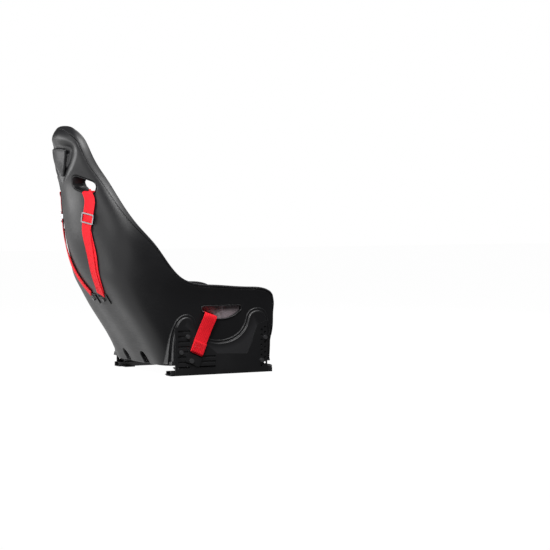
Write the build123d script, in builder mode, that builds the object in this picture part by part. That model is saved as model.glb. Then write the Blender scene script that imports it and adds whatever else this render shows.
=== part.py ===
"""Racing bucket seat on side brackets and slide rails, with a four-strap harness.

Millimetres. X is across the seat, the seat faces -Y, Z is up, and z = 0 is the
plane that the lower rails bolt down to. The seat is symmetric about X = 0.
"""

import os
from math import atan2, cos, degrees, hypot, radians, sin, tan

from build123d import *

os.makedirs("parts", exist_ok=True)

# ---------------------------------------------------------------- driving dimensions
SKIN = 5.0                   # wall of each of the two nested mouldings
PAD_GAP = 1.4                # air between the liner and a pad
PAD_T = 42.0                 # depth of the back pads
SIDE_SHARE = 0.78            # width between the side pads as a share of the liner's
CUSHION_TOP = 118.0
PLINTH_FACE = 243.2          # half width over the raised side bosses
BRACKET_INNER = 243.5        # half width to the inner face of a side bracket
BRACKET_T = 4.0
WEB_WIDTH = 50.0             # lap webbing
SHOULDER_WIDTH = 42.0        # shoulder webbing
WEB_T = 1.6
RAIL_X = 218.0               # centre of each slide rail
HOLE_X, HOLE_Y, HOLE_R = 178.0, 170.0, 4.25   # mounting holes in the rail feet

# Each station of the shell is one horizontal section: height, back of the crown,
# half width and depth of the crease beside it, half width of the side wall and the
# depth where it straightens, then half width and depth of its forward end.
STATIONS = [
    (34, 217, 205, 197, 229, 145, 214, -184),
    (100, 257, 194, 232, 233, 155, 226, -200),
    (170, 302, 192, 276, 237, 178, 234, -210),
    (240, 349, 190, 323, 241, 200, 238, -215),
    (290, 382, 188, 352, 246, 206, 244, -214),
    (345, 418, 187, 380, 256, 222, 257, -90),
    (400, 444, 186, 389, 259, 250, 262, 20),
    (460, 466, 180, 398, 254, 293, 258, 110),
    (530, 480, 166, 411, 234, 335, 240, 200),
    (600, 490, 146, 431, 206, 366, 211, 270),
    (670, 500, 122, 455, 172, 400, 175, 325),
    (735, 521, 105, 484, 145, 436, 147, 370),
    (790, 530, 95, 497, 129, 456, 130, 400),
    (835, 528, 78, 504, 106, 472, 107, 425),
    (858, 515, 50, 504, 78, 486, 80, 440),
    (867, 503, 24, 499, 42, 488, 44, 455),
]

# The rim seen from the side, front to top, with the width of the liner's outer band.
RIM = [
    (-206, 30, 8), (-212, 150, 8), (-212, 225, 8), (-207, 257, 8), (-199, 280, 8),
    (-182, 292, 8), (-100, 304, 8), (37, 314, 8), (112, 321, 8), (160, 339, 8), (200, 374, 8),
    (266, 461, 8), (324, 530, 14), (373, 615, 20), (405, 684, 24),
    (433, 735, 26), (454, 787, 27), (470, 830, 27), (488, 856, 26),
]


def half_outline(station, inset):
    """Points of one side of a section, from the centre of the back to the front."""
    _, back, crease_x, crease_y, side_x, side_y, front_x, front_y = station
    points = [
        (0.0, back),
        (0.5 * crease_x, back - 0.25 * (back - crease_y)),
        (crease_x, crease_y),
        (crease_x + 0.62 * (side_x - crease_x), crease_y - 0.40 * (crease_y - side_y)),
        (0.98 * side_x, side_y),
        (side_x + 0.4 * (front_x - side_x), side_y + 0.45 * (front_y - side_y)),
        (front_x, front_y),
    ]
    moved = []
    for i, (x, y) in enumerate(points):
        before = points[i - 1] if i else (-points[1][0], points[1][1])
        after = points[i + 1] if i + 1 < len(points) else points[i]
        run, rise = after[0] - before[0], after[1] - before[1]
        length = hypot(run, rise)
        moved.append((x + inset * rise / length, y - inset * run / length))
    x, y = moved[-1]
    moved[-1] = (x, front_y + inset)
    return moved


def section_wire(station, inset):
    """Closed outline of a section: one spline round the back and a straight front."""
    half = half_outline(station, inset)
    around = Spline(*([(-x, y) for x, y in reversed(half)] + half[1:]))
    Line(around @ 1, around @ 0)


def shell_block(inset):
    """Solid inside the shell's outer surface, taken in by an even distance."""
    with BuildPart(mode=Mode.PRIVATE) as block:
        for index, station in enumerate(STATIONS):
            z = station[0]
            if index == 0:
                z += inset
            if index >= len(STATIONS) - 3:
                z -= inset * (0.4, 0.8, 1.0)[index - len(STATIONS) + 3]
            with BuildSketch(Plane.XY.offset(z)):
                with BuildLine():
                    section_wire(station, inset)
                make_face()
        loft()
    return block.part


def behind_rim(band_share, extra=0.0):
    """Everything behind the rim line, or behind a line some way inside it."""
    line = []
    for i, (y, z, band) in enumerate(RIM):
        (y0, z0, _), (y1, z1, _) = RIM[max(i - 1, 0)], RIM[min(i + 1, len(RIM) - 1)]
        length = hypot(y1 - y0, z1 - z0)
        shift = band * band_share + extra
        line.append((y + shift * (z1 - z0) / length, z - shift * (y1 - y0) / length))
    with BuildPart(mode=Mode.PRIVATE) as region:
        with BuildSketch(Plane.YZ):
            with BuildLine():
                edge = Spline(*line)
                top, low = edge @ 1, edge @ 0
                Polyline(top, (top.X + 20, 900), (700, 900), (700, 0), (low.X, 0), low)
            make_face()
        extrude(amount=320, both=True)
    return region.part


OUTER = shell_block(0)
MIDDLE = shell_block(SKIN)
INNER = shell_block(2 * SKIN)
PAD_REAR = shell_block(2 * SKIN + PAD_GAP)
PAD_FRONT = Pos(0, -PAD_T, 0) * scale(PAD_REAR, by=(SIDE_SHARE, 1, 1))
BEHIND_RIM = behind_rim(0)
BEHIND_SEAM = behind_rim(1)
BEHIND_PAD_EDGE = behind_rim(0, extra=16)


def back_y(x, z, solid=OUTER):
    """Depth of the rear surface of a shell block at a point of the rear view."""
    hits = solid.find_intersection_points(Axis((x, 900, z), (0, -1, 0)))
    return max(point.Y for point, _ in hits)


def back_normal(x, z, solid=OUTER, step=4.0):
    """Normal of that surface, pointing rearwards."""
    slope_x = (back_y(x + step, z, solid) - back_y(x - step, z, solid)) / (2 * step)
    slope_z = (back_y(x, z + step, solid) - back_y(x, z - step, solid)) / (2 * step)
    return Vector(-slope_x, 1, -slope_z).normalized()


def save(builder, label):
    """Label a finished piece and write it."""
    builder.part.label = label
    export_step(builder.part, f"parts/{label}.step")


SIDES = {"left": 1, "right": -1}

# ---------------------------------------------------------------- openings in the shell
SLOT_X, SLOT_Z = 101.0, 662.0            # centre of a shoulder slot
SLOT_LENGTH, SLOT_HEIGHT, SLOT_TILT = 88.0, 50.0, 21.0
SLOT_CORNER = 20.0
BEZEL_T, BEZEL_DEPTH = 3.0, 40.0
LAP_TOP_Z, LAP_LOW_Z = 243.0, 191.0      # half-moon lap openings
LAP_REAR_Y, LAP_FRONT_Y = 86.0, -78.0
LAP_END_HEIGHT = 18.0                    # height of a lap opening at its ends
SLIT_Y, SLIT_Z = 50.0, 212.0             # where a lap strap goes through the side pad
SLIT_TILT = 20.0                         # slope of the strap as it goes through
INSERT_YZ = [(-166, 124), (-152, 43), (140, 136), (166, 82)]   # bracket bolts
INSERT_R, BOLT_R = 7.0, 4.0
ANCHOR_X, ANCHOR_Z = 42.0, 264.0         # shoulder anchors on the back
ANCHOR_BOLT_R = 5.0


def shoulder_slot(side, grow, front=300, rear=620):
    """Prism through the back at one shoulder slot, lower at its outer end."""
    with BuildPart(mode=Mode.PRIVATE) as prism:
        with BuildSketch(Plane(origin=(0, front, 0), x_dir=(1, 0, 0), z_dir=(0, 1, 0))):
            with Locations(Location((side * SLOT_X, -SLOT_Z), side * SLOT_TILT)):
                RectangleRounded(SLOT_LENGTH + 2 * grow, SLOT_HEIGHT + 2 * grow, SLOT_CORNER + grow)
        extrude(amount=rear - front)
    return prism.part


def lap_opening(side, grow, inner_x=150, outer_x=300):
    """Prism through one side wall: flat top and a curved lower edge."""
    rear, front, top, low = LAP_REAR_Y, LAP_FRONT_Y, LAP_TOP_Z, LAP_LOW_Z
    with BuildPart(mode=Mode.PRIVATE) as prism:
        with BuildSketch(Plane.YZ.offset(inner_x)) as half_moon:
            with BuildLine():
                ends = top - LAP_END_HEIGHT
                Polyline((front, ends), (front, top), (rear, top), (rear, ends))
                ThreePointArc((rear, ends), ((rear + front) / 2, low), (front, ends))
            make_face()
            corners = half_moon.vertices().group_by(Axis.Y)
            fillet(corners[0] + corners[-1], 7)
            if grow:
                offset(amount=grow, mode=Mode.REPLACE)
        extrude(amount=outer_x - inner_x)
        if side < 0:
            mirror(about=Plane.YZ, mode=Mode.REPLACE)
    return prism.part


def foot_notches():
    """Two round-topped notches in the lower edge of the back panel."""
    with BuildPart(mode=Mode.PRIVATE) as notches:
        with BuildSketch(Plane(origin=(0, 170, 0), x_dir=(1, 0, 0), z_dir=(0, 1, 0))):
            with Locations((-75, -38), (75, -38)):
                SlotOverall(78, 40, rotation=90)
        extrude(amount=140)
    return notches.part


def front_gap():
    """Leg opening between the two arms of the front wall."""
    with BuildPart(mode=Mode.PRIVATE) as gap:
        with BuildSketch(Plane.XZ.offset(120)):
            with Locations((0, 290)):
                RectangleRounded(2 * 196, 270, 40)
        extrude(amount=180)
    return gap.part


def insert_bores(radius):
    """Bores for the bracket bolts through both side walls."""
    with BuildPart(mode=Mode.PRIVATE) as bores:
        with Locations(*[Location((side * 235, y, z), (0, 90, 0))
                         for side in SIDES.values() for y, z in INSERT_YZ]):
            Cylinder(radius, 60)
    return bores.part


ANCHOR_BASE = {side: Vector(side * ANCHOR_X, back_y(side * ANCHOR_X, ANCHOR_Z), ANCHOR_Z)
               for side in SIDES.values()}
ANCHOR_NORMAL = {side: back_normal(side * ANCHOR_X, ANCHOR_Z) for side in SIDES.values()}


def anchor_plane(side, lift):
    """Plane parallel to the back at one shoulder anchor, its Y pointing up the back."""
    normal = ANCHOR_NORMAL[side]
    return Plane(origin=ANCHOR_BASE[side] + normal * lift, x_dir=(-1, 0, 0), z_dir=normal)


def anchor_bores(radius):
    """Bores for the two shoulder anchor bolts through the back."""
    with BuildPart(mode=Mode.PRIVATE) as bores:
        for side in SIDES.values():
            with BuildSketch(anchor_plane(side, 5)):
                Circle(radius)
            extrude(amount=-60)
    return bores.part


# ---------------------------------------------------------------- shell
BOSS_OUTLINE = [
    (208, 40), (206, 106), (192, 172), (166, 207), (138, 214), (112, 201), (97, 168),
    (66, 134), (6, 121), (-49, 135), (-84, 170), (-105, 218), (-137, 230), (-170, 220),
    (-187, 181), (-195, 118), (-195, 40),
]

with BuildPart() as skin:
    add(OUTER)
    add(MIDDLE, mode=Mode.SUBTRACT)
    add(BEHIND_SEAM, mode=Mode.INTERSECT)

with BuildPart() as side_bosses:
    with BuildSketch(Plane.YZ.offset(200)):
        with BuildLine():
            crest = Spline(*BOSS_OUTLINE)
            Line(crest @ 1, crest @ 0)
        make_face()
    extrude(amount=PLINTH_FACE - 200)
    chamfer(side_bosses.faces().sort_by(Axis.X)[-1].edges(), 2.5, 10)
    mirror(about=Plane.YZ)
    add(MIDDLE, mode=Mode.SUBTRACT)

with BuildPart() as back_shell:
    add(skin.part)
    add(side_bosses.part)
    for side in SIDES.values():
        add(shoulder_slot(side, 0), mode=Mode.SUBTRACT)
        add(lap_opening(side, 0), mode=Mode.SUBTRACT)
    add(insert_bores(INSERT_R), mode=Mode.SUBTRACT)
    add(anchor_bores(ANCHOR_BOLT_R), mode=Mode.SUBTRACT)
    add(foot_notches(), mode=Mode.SUBTRACT)
    add(front_gap(), mode=Mode.SUBTRACT)
save(back_shell, "back_shell")

with BuildPart() as front_shell:
    add(OUTER)
    add(INNER, mode=Mode.SUBTRACT)
    add(BEHIND_RIM, mode=Mode.INTERSECT)
    add(skin.part, mode=Mode.SUBTRACT)
    for side in SIDES.values():
        add(shoulder_slot(side, 0), mode=Mode.SUBTRACT)
        add(lap_opening(side, 0), mode=Mode.SUBTRACT)
    add(insert_bores(INSERT_R), mode=Mode.SUBTRACT)
    add(anchor_bores(ANCHOR_BOLT_R), mode=Mode.SUBTRACT)
    add(front_gap(), mode=Mode.SUBTRACT)
save(front_shell, "front_shell")

BADGE_Z, BADGE_W, BADGE_H = 742.0, 116.0, 94.0
with BuildPart() as rear_badge:
    with BuildSketch(Plane(origin=(0, 480, 0), x_dir=(-1, 0, 0), z_dir=(0, 1, 0))):
        with BuildLine():
            top, low = BADGE_Z + BADGE_H / 2, BADGE_Z - BADGE_H / 2
            Line((-BADGE_W / 2, top), (BADGE_W / 2, top))
            Spline((BADGE_W / 2, top), (0.42 * BADGE_W, BADGE_Z), (0.16 * BADGE_W, low + 8), (0, low))
            Spline((0, low), (-0.16 * BADGE_W, low + 8), (-0.42 * BADGE_W, BADGE_Z), (-BADGE_W / 2, top))
        make_face()
    extrude(amount=60)
    add(shell_block(-3.0), mode=Mode.INTERSECT)
    add(OUTER, mode=Mode.SUBTRACT)
save(rear_badge, "rear_badge")

for name, side in SIDES.items():
    with BuildPart() as slot_bezel:
        add(shoulder_slot(side, -0.2))
        add(shoulder_slot(side, -BEZEL_T), mode=Mode.SUBTRACT)
        add(OUTER, mode=Mode.INTERSECT)
        add(Pos(0, -BEZEL_DEPTH, 0) * OUTER, mode=Mode.SUBTRACT)
    save(slot_bezel, f"slot_bezel_{name}")

    with BuildPart() as lap_bezel:
        add(lap_opening(side, -0.2, 232, 243))
        add(lap_opening(side, -BEZEL_T, 232, 243), mode=Mode.SUBTRACT)
    save(lap_bezel, f"lap_bezel_{name}")

with BuildPart() as shell_inserts:
    add(insert_bores(INSERT_R - 0.02))
    add(insert_bores(BOLT_R + 0.05), mode=Mode.SUBTRACT)
    for side in SIDES.values():
        with Locations((side * (PLINTH_FACE + 50), 0, 100)):
            Box(100.4, 500, 400, mode=Mode.SUBTRACT)
    with Locations((0, 0, 100)):
        Box(2 * 227, 500, 400, mode=Mode.SUBTRACT)
save(shell_inserts, "shell_inserts")

# ---------------------------------------------------------------- pads


def pad(front_block, low, high, cut_slots=False):
    """Pad of even thickness inside the liner, between two corners of a box."""
    with BuildPart(mode=Mode.PRIVATE) as piece:
        size = [b - a for a, b in zip(low, high)]
        with Locations(tuple((a + b) / 2 for a, b in zip(low, high))):
            Box(*size)
        add(PAD_REAR, mode=Mode.INTERSECT)
        add(BEHIND_PAD_EDGE, mode=Mode.INTERSECT)
        if front_block is not None:
            add(front_block, mode=Mode.SUBTRACT)
        if cut_slots:
            for side in SIDES.values():
                add(shoulder_slot(side, 1.0), mode=Mode.SUBTRACT)
    return piece.part


def save_pad(part, label):
    """Write one pad."""
    part.label = label
    export_step(part, f"parts/{label}.step")


save_pad(pad(PAD_FRONT, (-92, 300, 718), (92, 560, 836)), "head_pad")
save_pad(pad(PAD_FRONT, (-160, 250, 608), (160, 560, 714), cut_slots=True), "shoulder_pad")
save_pad(pad(PAD_FRONT, (-118, 150, 338), (118, 560, 604)), "back_pad")
save_pad(pad(PAD_FRONT, (-118, 150, 124), (118, 560, 334)), "lumbar_pad")
save_pad(pad(None, (-158, -182, 58), (158, 152, CUSHION_TOP)), "seat_cushion")
for name, side in SIDES.items():
    near, far = sorted((side * 122, side * 262))
    save_pad(pad(PAD_FRONT, (near, 60, 290), (far, 560, 604)), f"back_bolster_{name}")
    near, far = sorted((side * 162, side * 262))
    with BuildPart() as thigh_bolster:
        add(pad(PAD_FRONT, (near, -182, 58), (far, 150, 274)))
        with Locations(Location((side * 210, SLIT_Y, SLIT_Z), (SLIT_TILT, 0, 0))):
            Box(120, 60, 14, mode=Mode.SUBTRACT)
    save(thigh_bolster, f"thigh_bolster_{name}")

# ---------------------------------------------------------------- harness


def band(route):
    """Flat webbing through points that each carry the direction and width across it."""
    with BuildPart(mode=Mode.PRIVATE) as webbing:
        for i, (point, across) in enumerate(route):
            before, after = route[max(i - 1, 0)][0], route[min(i + 1, len(route) - 1)][0]
            with BuildSketch(Plane(origin=point, x_dir=across, z_dir=after - before)):
                Rectangle(across.length, WEB_T)
        loft(ruled=True)
    return webbing.part


# Centre line of a shoulder strap on the back, as distance from the middle and height.
REAR_ROUTE = [(119, 600), (114, 575), (108, 549), (99, 507), (97, 470), (93, 425), (82, 372),
              (66, 326), (52, 296)]
REAR_LIFT = 5.6
ADJUSTER_STEP = 5                       # point of the route that the adjuster sits on
LIP_X, LIP_Z = 113.0, 639.4             # middle of the strap inside its slot
LIP_ACROSS = Vector(30, 0, -6.2)        # the webbing bunches to this width there
LIP_LIFT = 6.0


def lip_point(side):
    """Middle of the strap where its slot meets the back surface."""
    return Vector(side * LIP_X, back_y(side * LIP_X, LIP_Z), LIP_Z)


def lip_across(side):
    """Width of the strap in its slot, towards the seat's outer side."""
    return Vector(side * LIP_ACROSS.X, 0, LIP_ACROSS.Z)


def across_surface(side, points):
    """Widths across a strap that lies along points with surface normals."""
    widths = []
    for i, (_, normal) in enumerate(points):
        along = points[min(i + 1, len(points) - 1)][0] - points[max(i - 1, 0)][0]
        widths.append(normal.cross(along).normalized() * side * SHOULDER_WIDTH)
    return [(point, width) for (point, _), width in zip(points, widths)]


def rear_route(side):
    """Shoulder strap from inside its slot down the back to its anchor."""
    lip = lip_point(side)
    turn_x, turn_z = side * (LIP_X + 4), LIP_Z - 14
    turn_normal = back_normal(turn_x, turn_z)
    turn = Vector(turn_x, back_y(turn_x, turn_z), turn_z) + turn_normal * LIP_LIFT
    turn_across = (turn_normal.cross(Vector(0, 0, -1)) * side).normalized() * 38
    points = []
    for x, z in REAR_ROUTE:
        normal = back_normal(side * x, z)
        points.append((Vector(side * x, back_y(side * x, z), z) + normal * REAR_LIFT, normal))
    for i, share in ((1, 0.28), (2, 0.56)):
        points[i] = (points[0][0] * (1 - share) + points[3][0] * share,
                     (points[0][1] * (1 - share) + points[3][1] * share).normalized())
    end = ANCHOR_BASE[side] + anchor_plane(side, 0).y_dir * 17
    points.append((end + ANCHOR_NORMAL[side] * 5.2, ANCHOR_NORMAL[side]))
    lip_normal = back_normal(side * LIP_X, LIP_Z)
    return [(lip - Vector(0, 15, 0), lip_across(side)), (lip + lip_normal * LIP_LIFT, turn_across),
            (turn, turn_across), *across_surface(side, points)]


BUCKLE_Y, BUCKLE_Z = 30.0, CUSHION_TOP + 1.0
BUCKLE_R, BUCKLE_H = 33.0, 17.0
TONGUE_R0, TONGUE_R1, TONGUE_W, TONGUE_T = 33.5, 66.0, 56.0, 3.0
TONGUE_Z = BUCKLE_Z + 6.0
SHOULDER_ANGLE, LAP_ANGLE = 52.0, -8.0   # directions of the tongues round the buckle
# Centre line of a shoulder strap on the pads, as distance from the middle and height.
FRONT_ROUTE = [(108, 606), (94, 540), (78, 440), (68, 360), (60, 290), (56, 220), (52, 165)]
FRONT_LIFT = 4.5


def around_buckle(side, angle, radius, z):
    """Point round the buckle, at an angle from straight sideways towards the back."""
    turn = radians(angle)
    return Vector(side * radius * cos(turn), BUCKLE_Y + radius * sin(turn), z)


def front_route(side):
    """Shoulder strap from inside its slot, over the shoulder pad and down to the buckle."""
    lip = lip_point(side)
    fold = Vector(side * LIP_X, back_y(side * LIP_X, LIP_Z, PAD_FRONT) - FRONT_LIFT, LIP_Z)
    points = []
    for x, z in FRONT_ROUTE:
        normal = back_normal(side * x, z, PAD_FRONT)
        surface = Vector(side * x, back_y(side * x, z, PAD_FRONT), z)
        points.append((surface - normal * FRONT_LIFT, normal))
    end = around_buckle(side, SHOULDER_ANGLE, TONGUE_R1 + 6, TONGUE_Z + 5)
    points.append((Vector(side * 51, end.Y + 46, CUSHION_TOP + 12), Vector(0, 0.4, -1)))
    points.append((end, Vector(0, 0, -1)))
    return [(lip - Vector(0, 19, 0), lip_across(side)), (fold, lip_across(side)),
            *across_surface(side, points)]


LAP_END = Vector(0, 110, 75)             # outer end of a lap strap on its anchor
LAP_RISE = Vector(0, SLIT_Y, SLIT_Z)     # where it leaves the half-moon opening


def lap_route(side):
    """Lap strap from its anchor, through the half-moon opening, to the buckle."""
    out = Vector(side, 0, 0)
    level = Vector(0, cos(radians(SLIT_TILT)), sin(radians(SLIT_TILT))) * WEB_WIDTH
    end = around_buckle(side, LAP_ANGLE, TONGUE_R1 + 6, TONGUE_Z + 5)
    return [
        (LAP_END + out * 253.6, level),
        (LAP_RISE + (LAP_END - LAP_RISE) * 0.2 + out * 251.5, level),
        (LAP_RISE + out * 247.0, level),
        (LAP_RISE + out * 236.0, level),
        (LAP_RISE + out * 168.0, level),
        (LAP_RISE + out * 160.0 + Vector(0, -2, -10), level),
        (Vector(side * 154, SLIT_Y - 10, CUSHION_TOP + 26), Vector(0, WEB_WIDTH, 0)),
        (Vector(side * 128, SLIT_Y - 18, CUSHION_TOP + 8), Vector(0, WEB_WIDTH, 0)),
        (end, Vector(0, WEB_WIDTH, 0)),
    ]


def tongue(side, angle):
    """Flat steel tongue with a slot for its strap, pointing away from the buckle."""
    along = (around_buckle(side, angle, 1, 0) - Vector(0, BUCKLE_Y, 0)).normalized()
    middle = around_buckle(side, angle, (TONGUE_R0 + TONGUE_R1) / 2, TONGUE_Z)
    with BuildPart(mode=Mode.PRIVATE) as piece:
        with BuildSketch(Plane(origin=middle, x_dir=along, z_dir=(0, 0, 1))):
            length = TONGUE_R1 - TONGUE_R0
            Rectangle(length, 24)
            with Locations((length / 2 - 7, 0)):
                RectangleRounded(18, TONGUE_W, 5)
                RectangleRounded(6, WEB_WIDTH - 2, 2, mode=Mode.SUBTRACT)
        extrude(amount=TONGUE_T)
    return piece.part


def adjuster_plane(side):
    """Plane of a shoulder adjuster: X across the strap, Y up it, Z out of the back."""
    route = rear_route(side)
    point, across = route[ADJUSTER_STEP]
    up_strap = (route[ADJUSTER_STEP - 2][0] - route[ADJUSTER_STEP + 1][0]).normalized()
    outward = up_strap.cross(across) * (1 if up_strap.cross(across).Y > 0 else -1)
    return Plane(origin=point, x_dir=up_strap.cross(outward), z_dir=outward)


ADJUSTER_W, ADJUSTER_H = 51.0, 36.0
for name, side in SIDES.items():
    save_pad(band(rear_route(side)), f"shoulder_strap_rear_{name}")
    save_pad(band(front_route(side)), f"shoulder_strap_front_{name}")
    save_pad(band(lap_route(side)), f"lap_strap_{name}")
    save_pad(tongue(side, SHOULDER_ANGLE), f"shoulder_tongue_{name}")
    save_pad(tongue(side, LAP_ANGLE), f"lap_tongue_{name}")

    frame_plane = adjuster_plane(side)
    with BuildPart() as shoulder_adjuster:
        with BuildSketch(frame_plane.offset(1.7)):
            RectangleRounded(ADJUSTER_W, ADJUSTER_H, 4)
            Rectangle(ADJUSTER_W - 8, ADJUSTER_H - 9, mode=Mode.SUBTRACT)
        extrude(amount=2.4)
        with BuildSketch(frame_plane.offset(-3.6)):
            with Locations((-ADJUSTER_W / 2 + 2, 0), (ADJUSTER_W / 2 - 2, 0)):
                Rectangle(3.4, 16)
        extrude(amount=5.8)
    save(shoulder_adjuster, f"shoulder_adjuster_{name}")

    with BuildPart() as adjuster_bar:
        bar_end = frame_plane.origin - frame_plane.x_dir * (ADJUSTER_W / 2 - 3.8)
        bar_end -= frame_plane.z_dir * 2.8
        with BuildSketch(Plane(origin=bar_end, x_dir=frame_plane.y_dir, z_dir=frame_plane.x_dir)):
            SlotOverall(9, 1.8)
        extrude(amount=ADJUSTER_W - 7.6)
    save(adjuster_bar, f"adjuster_bar_{name}")

    with BuildPart() as shoulder_anchor:
        with BuildSketch(anchor_plane(side, 0.4)):
            RectangleRounded(62, 44, 8)
            Circle(ANCHOR_BOLT_R + 0.3, mode=Mode.SUBTRACT)
            with Locations((0, 15)):
                RectangleRounded(WEB_WIDTH + 2, 6, 2, mode=Mode.SUBTRACT)
        extrude(amount=3)
    save(shoulder_anchor, f"shoulder_anchor_{name}")

with BuildPart() as shoulder_anchor_bolts:
    for side in SIDES.values():
        with BuildSketch(anchor_plane(side, 3.4)):
            RegularPolygon(8.5, 6)
        extrude(amount=6)
        with BuildSketch(anchor_plane(side, 3.4)):
            Circle(ANCHOR_BOLT_R - 0.05)
        extrude(amount=-10.4)
save(shoulder_anchor_bolts, "shoulder_anchor_bolts")

with BuildPart() as buckle_body:
    with Locations((0, BUCKLE_Y, BUCKLE_Z + BUCKLE_H / 2)):
        Cylinder(BUCKLE_R, BUCKLE_H)
        fillet(buckle_body.edges().filter_by(GeomType.CIRCLE), 3)
    with Locations((0, BUCKLE_Y, BUCKLE_Z + BUCKLE_H)):
        Cylinder(5.05, 2 * BUCKLE_H - 6, mode=Mode.SUBTRACT)
save(buckle_body, "buckle_body")

with BuildPart() as release_knob:
    with Locations((0, BUCKLE_Y, BUCKLE_Z + BUCKLE_H + 4.7)):
        Cylinder(22, 9)
        fillet(release_knob.edges().filter_by(GeomType.CIRCLE).sort_by(Axis.Z)[-1], 3)
    with BuildSketch(Plane.XY.offset(BUCKLE_Z + BUCKLE_H + 0.2)):
        with Locations((0, BUCKLE_Y)):
            with PolarLocations(20, 3, start_angle=90):
                SlotOverall(24, 11)
    extrude(amount=7)
    with Locations((0, BUCKLE_Y, BUCKLE_Z + BUCKLE_H - 4)):
        Cylinder(5.0, 10)
save(release_knob, "release_knob")

# ---------------------------------------------------------------- side brackets
PLATE_OUTLINE = [
    (188, 3), (188, 171), (146, 172), (107, 141), (25, 74), (-95, 69), (-114, 108),
    (-137, 171), (-175, 184), (-175, 3),
]
ROW_PITCH = 18.0
REAR_ROWS = [28 + ROW_PITCH * i for i in range(8)]
FRONT_COLUMNS = [(-166, 34), (-152, 25)]
LAP_BOLT = (128.0, 52.0)
FLANGE_BOLT_Y = 120.0
FLANGE_Z = 24.0

for name, side in SIDES.items():
    with BuildPart() as side_bracket:
        with BuildSketch(Plane.YZ.offset(BRACKET_INNER)):
            with BuildLine():
                Polyline(*PLATE_OUTLINE, close=True)
            make_face()
            for row in REAR_ROWS:
                with Locations((154, row)):
                    SlotOverall(48, 8.6, mode=Mode.SUBTRACT)
            for row in REAR_ROWS[:3]:
                with Locations((62, row)):
                    SlotOverall(64, 8.6, mode=Mode.SUBTRACT)
            for y, z in FRONT_COLUMNS:
                with Locations(*[(y, z + ROW_PITCH * i) for i in range(8)]):
                    Circle(BOLT_R + 0.3, mode=Mode.SUBTRACT)
            with Locations(LAP_BOLT):
                Circle(BOLT_R + 1.2, mode=Mode.SUBTRACT)
        extrude(amount=BRACKET_T)
        with Locations((222.5, 0, FLANGE_Z + 2)):
            Box(43, 350, 4)
        with Locations((RAIL_X, -FLANGE_BOLT_Y, FLANGE_Z + 2), (RAIL_X, FLANGE_BOLT_Y, FLANGE_Z + 2)):
            Cylinder(BOLT_R + 0.3, 10, mode=Mode.SUBTRACT)
        if side < 0:
            mirror(about=Plane.YZ, mode=Mode.REPLACE)
    save(side_bracket, f"side_bracket_{name}")

with BuildPart() as bracket_bolts:
    for side in SIDES.values():
        face = side * (BRACKET_INNER + BRACKET_T + 1.6)
        with Locations(*[Location((face + side * 2.3, y, z), (0, 90, 0)) for y, z in INSERT_YZ]):
            Cylinder(7.0, 4.4)
        with Locations(*[Location((face - side * 9, y, z), (0, 90, 0)) for y, z in INSERT_YZ]):
            Cylinder(BOLT_R - 0.1, 18.4)
save(bracket_bolts, "bracket_bolts")

with BuildPart() as bracket_washers:
    for side in SIDES.values():
        face = side * (BRACKET_INNER + BRACKET_T + 0.8)
        with Locations(*[Location((face, y, z), (0, 90, 0)) for y, z in INSERT_YZ]):
            Cylinder(8.5, 1.5)
            Cylinder(BOLT_R + 0.2, 1.5, mode=Mode.SUBTRACT)
save(bracket_washers, "bracket_washers")

# ---------------------------------------------------------------- lap belt anchors
LAP_PLATE_X = BRACKET_INNER + BRACKET_T + 0.2
LAP_PLATE_T = 3.0
LAP_TILT = degrees(atan2(LAP_RISE.Z - LAP_END.Z, LAP_RISE.Y - LAP_END.Y)) - 90

for name, side in SIDES.items():
    with BuildPart() as lap_anchor:
        with BuildSketch(Plane.YZ.offset(LAP_PLATE_X)):
            with Locations(Location((LAP_END.Y, LAP_END.Z), LAP_TILT)):
                with Locations((0, -14)):
                    RectangleRounded(60, 48, 6)
                with Locations((0, -1)):
                    RectangleRounded(WEB_WIDTH + 2, 6, 2, mode=Mode.SUBTRACT)
            with Locations(LAP_BOLT):
                Circle(BOLT_R + 1.2, mode=Mode.SUBTRACT)
        extrude(amount=LAP_PLATE_T)
        if side < 0:
            mirror(about=Plane.YZ, mode=Mode.REPLACE)
    save(lap_anchor, f"lap_anchor_{name}")

with BuildPart() as lap_anchor_bolts:
    for side in SIDES.values():
        head_x = side * (LAP_PLATE_X + LAP_PLATE_T + 3.3)
        with Locations(Location((head_x, *LAP_BOLT), (0, 90, 0))):
            Cylinder(8.5, 6)
        with Locations(Location((head_x - side * 5, *LAP_BOLT), (0, 90, 0))):
            Cylinder(5.0, 10)
save(lap_anchor_bolts, "lap_anchor_bolts")

# ---------------------------------------------------------------- slide rails
RAIL_W, RAIL_H, RAIL_WALL = 40.0, 16.0, 2.0
LOWER_HALF, UPPER_HALF = 200.0, 170.0
FOOT_HALF_W, FOOT_LOW, FOOT_HIGH = 12.0, 5.0, 11.5
BALL_R, BALL_Z = 2.95, 8.25
RACK_X = (188.0, 199.0)
PIVOT_Y, PIVOT_Z = -20.0, 11.0
EAR_X = (192.0, 195.0)
ARM_X, BAR_R = 161.0, 5.0
LATCH_Y = (-100.0, -60.0)

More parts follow.
